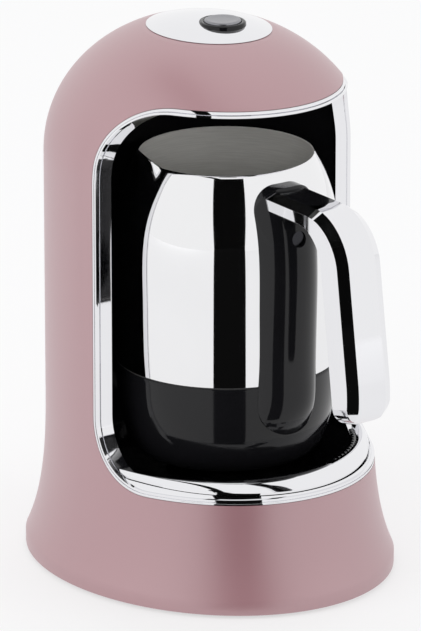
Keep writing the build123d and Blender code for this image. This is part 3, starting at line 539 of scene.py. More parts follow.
class Palette:
    """Every finish of the machine, by the name of its material slot."""

    def __init__(self, form: "BodyForm") -> None:
        """Build the finishes.

        Args:
            form: Shape of the body, for the places of its axes.
        """
        key_axis = (0.0, form.y + form.button_y, 0.0)
        pot_axis = (0.0, form.y + form.pot_y, 0.0)
        finishes: dict[str, Finish] = {
            "body_satin": SatinPaint("rose_satin", (0.285, 0.100, 0.122)),
            "chrome_plate": Plating("bright_plate"),
            "button_metal": SpunKey("key_metal", (0.30, 0.30, 0.32), key_axis),
            "black_gloss": PolishedPlastic("black_polish", (0.006, 0.006, 0.007)),
            "black_matte": MouldedPlastic("black_grain", (0.028, 0.028, 0.031)),
            "steel": PotSteel("pot_steel", pot_axis),
            "screw_steel": WorkedMetal("zinc_steel", (0.55, 0.55, 0.57)),
            "screw_black": WorkedMetal("oxide_steel", (0.04, 0.04, 0.045), 0.25),
            "heater_metal": WorkedMetal("cast_metal", (0.60, 0.61, 0.62), 0.45, (1, 1, 1)),
            "heater_sheath": WorkedMetal("tube_metal", (0.34, 0.31, 0.28), 0.4),
            "contact_metal": WorkedMetal("contact_brass", (0.80, 0.62, 0.30), 0.22),
            "circuit_board": Laminate("board_lacquer", (0.02, 0.16, 0.05)),
            "coil_wrap": PolishedPlastic("coil_tape", (0.60, 0.42, 0.05), 0.3, 0.2),
            "can_sleeve": PolishedPlastic("can_sleeve", (0.03, 0.04, 0.09), 0.25, 0.3),
            "wire_sheath": MouldedPlastic("wire_sheath", (0.05, 0.05, 0.055), 0.5),
            "seal_rubber": MouldedPlastic("seal_rubber", (0.02, 0.02, 0.02), 0.75),
            "clear_lens": ClearLens("clear_lens"),
        }
        self.materials = {slot: finish.build() for slot, finish in finishes.items()}
        self.slots = {
            entry["node"]: entry["material_slot"] for entry in frame["record"]["subparts"]
        }

    def dress(self, piece: Piece, slot: str) -> None:
        """Give a piece one material.

        Args:
            piece: Mesh object.
            slot: Material slot of the record.
        """
        piece.data.materials.clear()
        piece.data.materials.append(self.materials[slot])

    def dress_frame(self) -> None:
        """Give every node of the frame its own finish."""
        for name, node in frame["nodes"].items():
            self.dress(node, self.slots[name])


# ------------------------------------------------------------------ mesh kit
def smooth_line(
    points: Sequence[Point], start: Point, end: Point, per_span: int = 14
) -> list[Point]:
    """Curve of even bend through a few points.

    Args:
        points: Points that the curve passes.
        start: Direction at its first point.
        end: Direction at its last point.
        per_span: Number of steps between two points.

    Returns:
        Points along the curve, both ends included.
    """
    knots = np.array(points, float)
    spans = np.linalg.norm(np.diff(knots, axis=0), axis=1)
    count = len(knots)
    system = np.eye(count)
    sides = np.zeros((count, 2))
    sides[0] = np.array(start) / np.hypot(*start)
    sides[-1] = np.array(end) / np.hypot(*end)
    for i in range(1, count - 1):
        before, after = spans[i - 1], spans[i]
        system[i, i - 1 : i + 2] = (1 / before, 2 / before + 2 / after, 1 / after)
        sides[i] = 3 * (
            (knots[i] - knots[i - 1]) / before**2 + (knots[i + 1] - knots[i]) / after**2
        )
    slopes = np.linalg.solve(system, sides)
    line: list[Point] = []
    for i, span in enumerate(spans):
        for step in range(per_span):
            t = step / per_span
            place = (
                (1 + 2 * t) * (1 - t) ** 2 * knots[i]
                + t * (1 - t) ** 2 * span * slopes[i]
                + t * t * (3 - 2 * t) * knots[i + 1]
                - t * t * (1 - t) * span * slopes[i + 1]
            )
            line.append((float(place[0]), float(place[1])))
    return line + [(float(knots[-1][0]), float(knots[-1][1]))]


def rectangle(left: float, right: float, near: float, far: float) -> list[Point]:
    """Corners of a rectangle, in order."""
    return [(left, near), (right, near), (right, far), (left, far)]


class Mesh:
    """A bmesh on its way to a piece."""

    def __init__(self) -> None:
        """Start empty."""
        self.bm = bmesh.new()

    def lathe(
        self, profile: Sequence[Point], axis_y: float, steps: int, closed: bool = False
    ) -> "Mesh":
        """Turn a profile about an upright axis.

        Args:
            profile: Radius and height of each point.
            axis_y: Place of the axis along Y.
            steps: Number of steps in the full turn.
            closed: Joins the last point to the first.

        Returns:
            This mesh.
        """
        verts = [self.bm.verts.new((radius, axis_y, z)) for radius, z in profile]
        pairs = list(zip(verts, verts[1:]))
        if closed:
            pairs.append((verts[-1], verts[0]))
        edges = [self.bm.edges.new(pair) for pair in pairs]
        bmesh.ops.spin(
            self.bm,
            geom=verts + edges,
            cent=(0, axis_y, 0),
            axis=(0, 0, 1),
            angle=2 * pi,
            steps=steps,
            use_merge=True,
        )
        return self.tidy()

    def oval_loft(self, sections: Sequence[Sequence[float]], steps: int) -> "Mesh":
        """Closed ring through level ovals.

        Args:
            sections: Half width, half depth, centre along Y and height of each oval.
            steps: Number of steps in the full turn.

        Returns:
            This mesh.
        """
        self.lathe([(1.0, float(i)) for i in range(len(sections))], 0.0, steps, closed=True)
        levels: list[list[bmesh.types.BMVert]] = [[] for _ in sections]
        for vert in self.bm.verts:
            levels[round(vert.co.z)].append(vert)
        for i, (width, depth, centre, z) in enumerate(sections):
            bmesh.ops.scale(self.bm, vec=(width, depth, 1), verts=levels[i])
            bmesh.ops.translate(self.bm, vec=(0, centre, z - i), verts=levels[i])
        return self.tidy()

    def push(self, face: bmesh.types.BMFace, way: Sequence[float]) -> bmesh.types.BMFace:
        """Extrude a face.

        Args:
            face: Face that stays where it is.
            way: Way of its copy.

        Returns:
            The moved copy.
        """
        made = bmesh.ops.extrude_face_region(self.bm, geom=[face])["geom"]
        verts = [item for item in made if isinstance(item, bmesh.types.BMVert)]
        bmesh.ops.translate(self.bm, verts=verts, vec=way)
        return next(item for item in made if isinstance(item, bmesh.types.BMFace))

    def outline(self, corners: Sequence[Sequence[float]]) -> bmesh.types.BMFace:
        """Flat face through its corners."""
        return self.bm.faces.new([self.bm.verts.new(corner) for corner in corners])

    def prism(self, corners: Sequence[Sequence[float]], way: Sequence[float]) -> "Mesh":
        """Solid over a flat outline.

        Args:
            corners: Corners of the outline.
            way: Way from the outline to its copy.

        Returns:
            This mesh.
        """
        self.push(self.outline(corners), way)
        return self.tidy()

    def tidy(self) -> "Mesh":
        """Merge doubles, drop slivers and turn the faces outwards."""
        bmesh.ops.remove_doubles(self.bm, verts=self.bm.verts, dist=1e-7)
        bmesh.ops.dissolve_degenerate(self.bm, edges=self.bm.edges, dist=1e-8)
        bmesh.ops.recalc_face_normals(self.bm, faces=self.bm.faces)
        return self

    def bevel(self, geom: Sequence[object], size: float, segments: int, affect: str) -> None:
        """Round edges, or the corners of a flat outline.

        Args:
            geom: The edges or corners.
            size: Width of the rounding.
            segments: Number of faces across it.
            affect: EDGES or VERTICES.
        """
        bmesh.ops.bevel(
            self.bm,
            geom=list(geom),
            offset=size,
            offset_type="OFFSET",
            affect=affect,
            segments=segments,
            profile=0.5,
            material=-1,
        )

    def round_edges(
        self, run: int, side: int, value: float, size: float, segments: int, slack: float = TOUCH
    ) -> None:
        """Round the edges that run along one axis at a place on another.

        Args:
            run: Axis that the edges run along.
            side: Axis of their place.
            value: Place on that axis.
            size: Width of the rounding.
            segments: Number of faces across it.
            slack: Distance that an end may be off that place.
        """
        edges = [
            edge
            for edge in self.bm.edges
            if abs(edge.verts[0].co[run] - edge.verts[1].co[run]) > MM
            and all(abs(vert.co[side] - value) < slack for vert in edge.verts)
        ]
        self.bevel(edges, size, segments, "EDGES")

    def scale_y(self, ratio: float, centre_y: float) -> "Mesh":
        """Stretch along Y about an upright axis."""
        bmesh.ops.scale(
            self.bm,
            vec=(1, ratio, 1),
            space=Matrix.Translation((0, -centre_y, 0)),
            verts=self.bm.verts,
        )
        return self

    def object(self, name: str) -> Piece:
        """Scene object of this mesh."""
        data = bpy.data.meshes.new(name)
        self.bm.to_mesh(data)
        self.bm.free()
        made = bpy.data.objects.new(name, data)
        bpy.context.scene.collection.objects.link(made)
        return made


def combine(piece: Piece, other: Piece, how: Join) -> Piece:
    """Cut, join or intersect a piece with another, which is used up.

    Args:
        piece: Piece that stays.
        other: Piece that is used up.
        how: Way to combine them.

    Returns:
        The piece.
    """
    boolean = piece.modifiers.new(how.name, "BOOLEAN")
    boolean.operation = how.value
    boolean.object = other
    boolean.solver = "EXACT"
    graph = bpy.context.evaluated_depsgraph_get()
    data = bpy.data.meshes.new_from_object(piece.evaluated_get(graph))
    piece.modifiers.clear()
    piece.data = data
    bpy.data.objects.remove(other)
    return piece


def soften(piece: Piece, angle: float, edge: float = 0.0, segments: int = 2) -> None:
    """Shade a piece smoothly and round its sharp edges.

    Args:
        piece: Mesh object.
        angle: Edges sharper than this many degrees stay crisp.
        edge: Width of the rounding in metres, or 0 for none.
        segments: Number of faces across the rounding.
    """
    piece.data.shade_smooth()
    piece.data.set_sharp_from_angle(angle=radians(angle))
    if edge:
        bevel = piece.modifiers.new("edges", "BEVEL")
        bevel.width = edge
        bevel.segments = segments
        bevel.limit_method = "ANGLE"
        bevel.angle_limit = radians(angle)
        bevel.use_clamp_overlap = True
        bevel.harden_normals = True


def stand_in(piece: Piece, side: Side, slot: str, *nodes: str) -> Piece:
    """Let a finished piece ride on its body in place of nodes.

    Args:
        piece: Finished piece.
        side: Body that it rides on.
        slot: Material slot.
        nodes: Nodes that it replaces.

    Returns:
        The piece.
    """
    palette().dress(piece, slot)
    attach(piece, side.value)
    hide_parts(*nodes)
    log.info("piece %s replaces %s", piece.name, ", ".join(nodes))
    return piece


def merged_copy(node: str, name: str, slot: str) -> Piece:
    """Copy of a node of the machine with joined faces, which stands in for it.

    Args:
        node: Node of the frame.
        name: Name of the copy.
        slot: Material slot.

    Returns:
        The copy.
    """
    mesh = Mesh()
    mesh.bm.from_mesh(frame["nodes"][node].data)
    bmesh.ops.remove_doubles(mesh.bm, verts=mesh.bm.verts, dist=TOUCH)
    piece = mesh.object(name)
    soften(piece, angle=30)
    return stand_in(piece, Side.MACHINE, slot, node)


def bore(
    radius: float, length: float, centre: Place, level: bool = True, steps: int = 48
) -> Piece:
    """Round bar that cuts a bore.

    Args:
        radius: Radius of the bore.
        length: Its length.
        centre: Its middle.
        level: Lies along Y, and else stands upright.
        steps: Number of its sides.

    Returns:
        The bar.
    """
    mesh = Mesh()
    lean = Matrix.Rotation(pi / 2, 4, "X") if level else Matrix.Identity(4)
    bmesh.ops.create_cone(
        mesh.bm,
        cap_ends=True,
        segments=steps,
        radius1=radius,
        radius2=radius,
        depth=length,
        matrix=Matrix.Translation(centre) @ lean,
    )
    return mesh.object("bore")


# ------------------------------------------------------------------ shapes
@dataclass(frozen=True)
class BodyForm:
    """Oval shape of the body, in metres from the floor and from its own axis."""

    y: float = 18.76 * MM
    ratio: float = 1.19
    base: float = 92.0 * MM
    column: float = 81.5 * MM
    skirt: float = 2.0 * MM
    lip_top: float = 8.0 * MM
    flare: Point = (84.0 * MM, 39.0 * MM)
    flare_top: float = 86.0 * MM
    dome: float = 219.0 * MM
    dome_height: float = 76.0 * MM
    wall: float = 3.0 * MM
    panel_z: float = 289.0 * MM
    ledge: float = 4.0 * MM
    edge_y: float = -11.5 * MM
    sill: float = 58.2 * MM
    lintel: float = 264.4 * MM
    corner: float = 36.0 * MM
    button_y: float = -12.5 * MM
    pot_y: float = -16.0 * MM
    lip_way: Point = (-0.42, 1.0)
    turns: int = 192
    column_steps: int = 12
    dome_steps: int = 40
    corner_steps: int = 28

    def reach(self, z: float) -> float:
        """Half width of the dome at a height."""
        return self.column * sqrt(1 - ((z - self.dome) / self.dome_height) ** 2)

    def side(self, inset: float, low: float, high: float | None = None) -> list[Point]:
        """Side line from the bottom upwards.

        Args:
            inset: Distance inside the outer surface.
            low: Height of the lower end.
            high: Height where the line stops, or the crown if left out.

        Returns:
            Radius and height of each point.
        """
        line = ((self.base, self.lip_top), self.flare, (self.column, self.flare_top))
        flare = smooth_line([(r - inset, z) for r, z in line], self.lip_way, (0, 1))
        radius, height = self.column - inset, self.dome_height - inset
        steps = self.column_steps
        rise = self.dome - self.flare_top
        column = [(radius, self.flare_top + rise * i / steps) for i in range(1, steps)]
        stop = pi / 2
        if high is not None:
            stop = np.arcsin(min(1.0, (high - self.dome) / height))
        dome = [
            (radius * cos(turn), self.dome + height * sin(turn))
            for turn in (stop * i / self.dome_steps for i in range(self.dome_steps + 1))
        ]
        return [(self.base - inset, low)] + flare + column + dome

    def turned(self, name: str, profile: Sequence[Point], closed: bool = False) -> Piece:
        """Oval piece that is turned about the body's axis."""
        mesh = Mesh().lathe(profile, self.y, self.turns, closed)
        return mesh.scale_y(self.ratio, self.y).object(name)

    def solid(self, name: str, inset: float, low: float) -> Piece:
        """Closed oval solid of the body, moved inwards by inset."""
        profile = self.side(inset, low)
        profile[-1] = (0.0, profile[-1][1])
        return self.turned(name, [(0.0, low)] + profile)

    def window(self, name: str, inset: float) -> Piece:
        """Block of the opening in side view, set in by inset."""
        edge = self.y + self.edge_y - inset
        corners = rectangle(self.sill + inset, self.lintel - inset, edge, -2 * FAR)
        mesh = Mesh().prism([(-FAR, y, z) for z, y in corners], (2 * FAR, 0, 0))
        mesh.round_edges(X, Y, edge, self.corner - inset, self.corner_steps)
        return mesh.tidy().object(name)


@dataclass
class Housing:
    """One-piece coloured shell."""

    form: BodyForm
    gland: Point = (6.55 * MM, 22.0 * MM)
    gland_bore: float = 100.0 * MM
    edge: float = 0.45 * MM

    def build(self) -> Piece:
        """Shell with its window, its ledge and the hole for the cord gland."""
        form = self.form
        outer = form.side(0, form.skirt, form.panel_z)
        rim = form.reach(form.panel_z) - form.ledge
        inner = [point for point in form.side(form.wall, form.skirt) if point[0] > rim]
        profile = outer + [(rim, form.panel_z), (rim, inner[-1][1])] + inner[::-1]
        shell = form.turned("housing_shell", profile, closed=True)
        combine(shell, form.window("window", 0), Join.CUT)
        radius, height = self.gland
        hole = bore(radius, self.gland_bore, (0, form.y + self.gland_bore, height))
        combine(shell, hole, Join.CUT)
        soften(shell, angle=35, edge=self.edge)
        return stand_in(shell, Side.MACHINE, "body_satin", "outer_housing")


@dataclass
class Bezel:
    """Plated ring round the niche, with the broad band along its front."""

    form: BodyForm
    gap: float = 0.25 * MM
    skin: float = 0.05 * MM
    thickness: float = 3.0 * MM
    width: float = 9.5 * MM
    lip: float = 1.2 * MM
    lip_edge: float = 0.3 * MM
    side_groove: Point = (2.0 * MM, 2.7 * MM)
    front_groove: Point = (1.2 * MM, 1.7 * MM)
    groove_depth: float = 0.8 * MM
    liner: Point = (73.8 * MM, 65.8 * MM)
    band_inset: float = 0.6 * MM
    band_profile: tuple[Point, ...] = (
        (0.0, 0.0),
        (3.0 * MM, 5.0 * MM),
        (9.5 * MM, 9.1 * MM),
        (19.0 * MM, 6.0 * MM),
    )
    band_ways: tuple[Point, Point] = ((0.2, 1.0), (1.0, -0.6))
    edge: float = 0.3 * MM

    def ring(self) -> Piece:
        """Frame of even width along the window's edge."""
        form = self.form
        ring = form.window("bezel", self.gap)
        combine(ring, form.window("inside", self.thickness), Join.CUT)
        combine(ring, form.solid("outside", self.skin, form.skirt), Join.KEEP)
        return combine(ring, form.solid("core", self.width, -form.skirt), Join.CUT)

    def band(self) -> Piece:
        """Crowned band in front of the niche floor."""
        form = self.form
        low = form.sill + self.gap
        shelf = form.sill + self.lip
        radii, heights = zip(*form.side(self.skin, form.skirt))
        shell = float(np.interp(low, heights, radii))
        levels = (shell, low), (shell, shelf - self.lip_edge), (shell - self.lip_edge, shelf)
        sections = [(radius, radius * form.ratio, form.y, z) for radius, z in levels]
        column = form.column - self.band_inset
        outer = (column, column * form.ratio, form.y)
        inner = (*self.liner, form.y + form.edge_y)
        depth = self.band_profile[-1][0]
        for across, rise in smooth_line(self.band_profile, *self.band_ways, per_span=10):
            oval = (a + (b - a) * across / depth for a, b in zip(outer, inner))
            sections.append((*oval, shelf + rise))
        sections.append((*inner, low))
        band = Mesh().oval_loft(sections, form.turns).object("band")
        return combine(band, form.window("front", self.gap), Join.KEEP)

    def grooved(self, ring: Piece) -> Piece:
        """Ring with a fine groove in its front and one in its inner face."""
        form = self.form
        first, last = self.side_groove
        cutter = form.solid("groove", first, -form.skirt)
        combine(cutter, form.solid("groove_core", last, -2 * form.skirt), Join.CUT)
        combine(cutter, form.window("deep", self.thickness - self.groove_depth), Join.KEEP)
        combine(ring, cutter, Join.CUT)
        first, last = self.front_groove
        cutter = form.window("groove", self.gap + first)
        combine(cutter, form.window("groove_core", self.gap + last), Join.CUT)
        combine(cutter, form.solid("deep", self.groove_depth, -form.skirt), Join.CUT)
        return combine(ring, cutter, Join.CUT)

    def build(self) -> Piece:
        """Ring and band."""
        ring = self.grooved(combine(self.ring(), self.band(), Join.ADD))
        soften(ring, angle=30, edge=self.edge)
        return stand_in(ring, Side.MACHINE, "chrome_plate", "bezel_ring")


@dataclass
class TopPanel:
    """Domed plated panel with its key, the ring round the key and the key's spring."""

    form: BodyForm
    wall: float = 2.0 * MM
    gap: float = 0.35 * MM
    rim: Point = (0.1 * MM, 0.2 * MM)
    hole: float = 50.0 * MM
    key_radius: float = 9.6 * MM
    key_top: float = 296.0 * MM
    key_under: float = 289.0 * MM
    key_round: float = 1.1 * MM
    dish: tuple[Point, ...] = (
        (0.0, 0.5 * MM),
        (0.35, 0.46 * MM),
        (0.6, 0.35 * MM),
        (0.74, 0.12 * MM),
    )
    stem: Point = (3.0 * MM, 280.6 * MM)
    play: float = 0.05 * MM
    collar: Point = (9.8 * MM, 12.2 * MM)
    collar_heights: Point = (283.0 * MM, 294.9 * MM)
    collar_slope: Point = (0.65 * MM, 0.6 * MM)
    collar_edge: float = 0.4 * MM
    ring_floor: float = 2.0 * MM
    spring_keep: float = 0.74
    steps: int = 128
    bend_steps: int = 8
    edge: float = 0.35 * MM

    @property
    def y(self) -> float:
        """Place of the key's axis along Y."""
        return self.form.y + self.form.button_y

    def panel(self) -> Piece:
        """Thin dome with a hole for the ring."""
        form = self.form
        low = form.panel_z + self.gap
        back, rise = self.rim
        outer = [(r, z) for r, z in form.side(0, form.skirt) if z > low + rise]
        inner = [(r, z) for r, z in form.side(self.wall, form.skirt) if z > low]
        for line in (outer, inner):
            line[-1] = (0.0, line[-1][1])
        profile = [(form.reach(low), low)] + outer + inner[::-1] + [(inner[0][0] - back, low)]
        panel = form.turned("top_panel", profile, closed=True)
        centre = (0, self.y, form.panel_z)
        hole = bore(self.collar[1], self.hole, centre, level=False, steps=self.steps)
        combine(panel, hole, Join.CUT)
        soften(panel, angle=35, edge=self.edge)
        return stand_in(panel, Side.MACHINE, "chrome_plate", "control_panel")

    def ring(self) -> Piece:
        """Dark ring that guides the key."""
        low, high = self.collar_heights
        inner, outer = self.collar[0], self.collar[1] - self.play
        floor, hole = low + self.ring_floor, self.stem[0] + self.play
        wide, deep = self.collar_slope
        profile = [
            (hole, low),
            (outer, low),
            (outer, high - deep),
            (outer - wide, high),
            (inner + self.collar_edge, high),
            (inner, high - self.collar_edge),
            (inner, floor),
            (hole, floor),
        ]
        ring = Mesh().lathe(profile, self.y, self.steps, closed=True).object("key_ring")
        soften(ring, angle=50)
        return stand_in(ring, Side.MACHINE, "black_gloss", "button_collar")

    def key(self) -> Piece:
        """Round key with a shallow dish and a rounded rim."""
        radius, top, bend = self.key_radius, self.key_top, self.key_round
        profile = [(radius * share, top - depth) for share, depth in self.dish]
        steps = self.bend_steps
        profile += [
            (radius - bend + bend * cos(turn), top - bend + bend * sin(turn))
            for turn in (pi / 2 * (1 - i / steps) for i in range(steps + 1))
        ]
        stem, foot = self.stem
        profile += [(radius, self.key_under), (stem, self.key_under), (stem, foot), (0.0, foot)]
        key = Mesh().lathe(profile, self.y, self.steps).object("round_key")
        soften(key, angle=50)
        return stand_in(key, Side.BUTTON, "button_metal", "button_cap")

    def spring(self) -> Piece:
        """Coil under the key, a merged copy of its node with a mesh of its own."""
        coil = merged_copy("button_spring", "spring_coil", "screw_steel")
        foot = (0.0, self.y, self.collar_heights[0] + self.ring_floor)
        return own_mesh(coil)

    def build(self) -> None:
        """Panel, ring, key and the key's spring."""
        self.panel()
        self.ring()
        self.key()
        self.spring()


@dataclass
class Pot:
    """Steel vessel with its beak and its plastic foot."""

    form: BodyForm
    joint: Point = (58.1 * MM, 115.0 * MM)
    belly: Point = (59.0 * MM, 155.0 * MM)
    shoulder: Point = (56.3 * MM, 200.0 * MM)
    mouth: Point = (46.2 * MM, 225.3 * MM)
    foot: Point = (46.0 * MM, 65.1 * MM)
    waist: Point = (54.5 * MM, 80.0 * MM)
    neck: Point = (54.0 * MM, 100.0 * MM)
    joint_way: Point = (0.06, 1.0)
    mouth_way: Point = (-0.58, 1.0)
    foot_ways: tuple[Point, Point] = ((1.0, 0.7), (0.03, 1.0))
    seal: float = 0.8 * MM
    wall: float = 1.0 * MM
    foot_wall: float = 2.5 * MM
    foot_edge: float = 0.3 * MM
    beak_turn: float = 10.0
    beak_low: float = 210.0 * MM
    beak_spread: float = 19.0
    beak_pull: Point = (4.5 * MM, 7.0 * MM)
    overshoot: float = 5.0 * MM

    @property
    def y(self) -> float:
        """Place of the pot's axis along Y."""
        return self.form.y + self.form.pot_y

    def lathe(self, name: str, profile: Sequence[Point], closed: bool = False) -> Piece:
        """Piece that is turned about the pot's axis."""
        return Mesh().lathe(profile, self.y, self.form.turns, closed).object(name)

    def outline(self, inset: float) -> list[Point]:
        """Side line of the steel from its joint to the mouth, moved inwards by inset."""
        line = [(self.joint[0] - inset, self.joint[1] + inset)]
        line += [(radius - inset, z) for radius, z in (self.belly, self.shoulder, self.mouth)]
        return smooth_line(line, self.joint_way, self.mouth_way, per_span=20)

    def wall_line(self, inset: float) -> list[Point]:
        """Line of the steel from the middle of its floor to the mouth, moved inwards."""
        floor, neck = self.neck[1] + inset, self.neck[0] - inset
        line = self.outline(inset)
        return [(0.0, floor), (neck, floor), (neck, line[0][1])] + line

    def foot_line(self, inset: float) -> list[Point]:
        """Side line of the foot, moved inwards by inset."""
        top = (self.joint[0], self.joint[1] - self.seal)
        line = [(radius - inset, z) for radius, z in (self.foot, self.waist, top)]
        return smooth_line(line, *self.foot_ways, per_span=20)

    def room(self, grow: float) -> list[Piece]:
        """Solids of the vessel and the foot, grown outwards, that clear the space for both."""
        steel = self.wall_line(-grow)
        top = self.mouth[1] + self.overshoot
        steel += [(steel[-1][0], top), (0.0, top)]
        foot = self.foot_line(-grow)
        top = self.joint[1] + self.seal
        foot = [(0.0, foot[0][1])] + foot + [(foot[-1][0], top), (0.0, top)]
        return [self.lathe("room", profile) for profile in (steel, foot)]

    def pull_beak(self, mesh: Mesh) -> None:
        """Pull the rim out and up into a beak."""
        turn = radians(self.beak_turn)
        middle = Vector((-cos(turn), sin(turn), 0))
        for vert in mesh.bm.verts:
            out = Vector((vert.co.x, vert.co.y - self.y, 0))
            if vert.co.z < self.beak_low or out.length < MM:
                continue
            share = 1 - out.angle(middle) / radians(self.beak_spread)
            if share > 0:
                share *= ((vert.co.z - self.beak_low) / (self.mouth[1] - self.beak_low)) ** 2
                far, high = self.beak_pull
                vert.co += out.normalized() * far * share + Vector((0, 0, high * share))

    def vessel(self) -> Piece:
        """Thin steel vessel, with its inner faces marked for the brushed finish."""
        rim = (self.mouth[0] - self.wall / 2, self.mouth[1] + self.wall / 3)
        profile = self.wall_line(0) + [rim] + self.wall_line(self.wall)[::-1]
        mesh = Mesh().lathe(profile, self.y, self.form.turns)
        self.pull_beak(mesh)
        steel = mesh.object("steel_pot")
        data = steel.data
        marks = data.attributes.new("inner", "FLOAT", "FACE")
        axis = Vector((0, self.y, 0))
        for polygon, mark in zip(data.polygons, marks.data):
            out = polygon.center - axis
            out.z = 0
            inward = polygon.normal.dot(out) < 0
            floor = polygon.normal.z > 0.9 and polygon.center.z < self.joint[1]
            mark.value = float(inward or floor)
        soften(steel, angle=28)
        return stand_in(steel, Side.POT, "steel", "pot_vessel")

    def base(self) -> Piece:
        """Black foot under the steel."""
        outer = self.foot_line(0)
        radius, top = outer.pop()
        outer += [(self.joint[0], top - self.foot_edge), (radius - self.foot_edge, top)]
        inner = self.foot_line(self.foot_wall)
        foot = self.lathe("pot_foot", outer + inner[::-1], closed=True)
        soften(foot, angle=50)
        return stand_in(foot, Side.POT, "black_gloss", "pot_base_housing")

    def build(self) -> None:
        """Vessel and foot."""
        self.vessel()
        self.base()


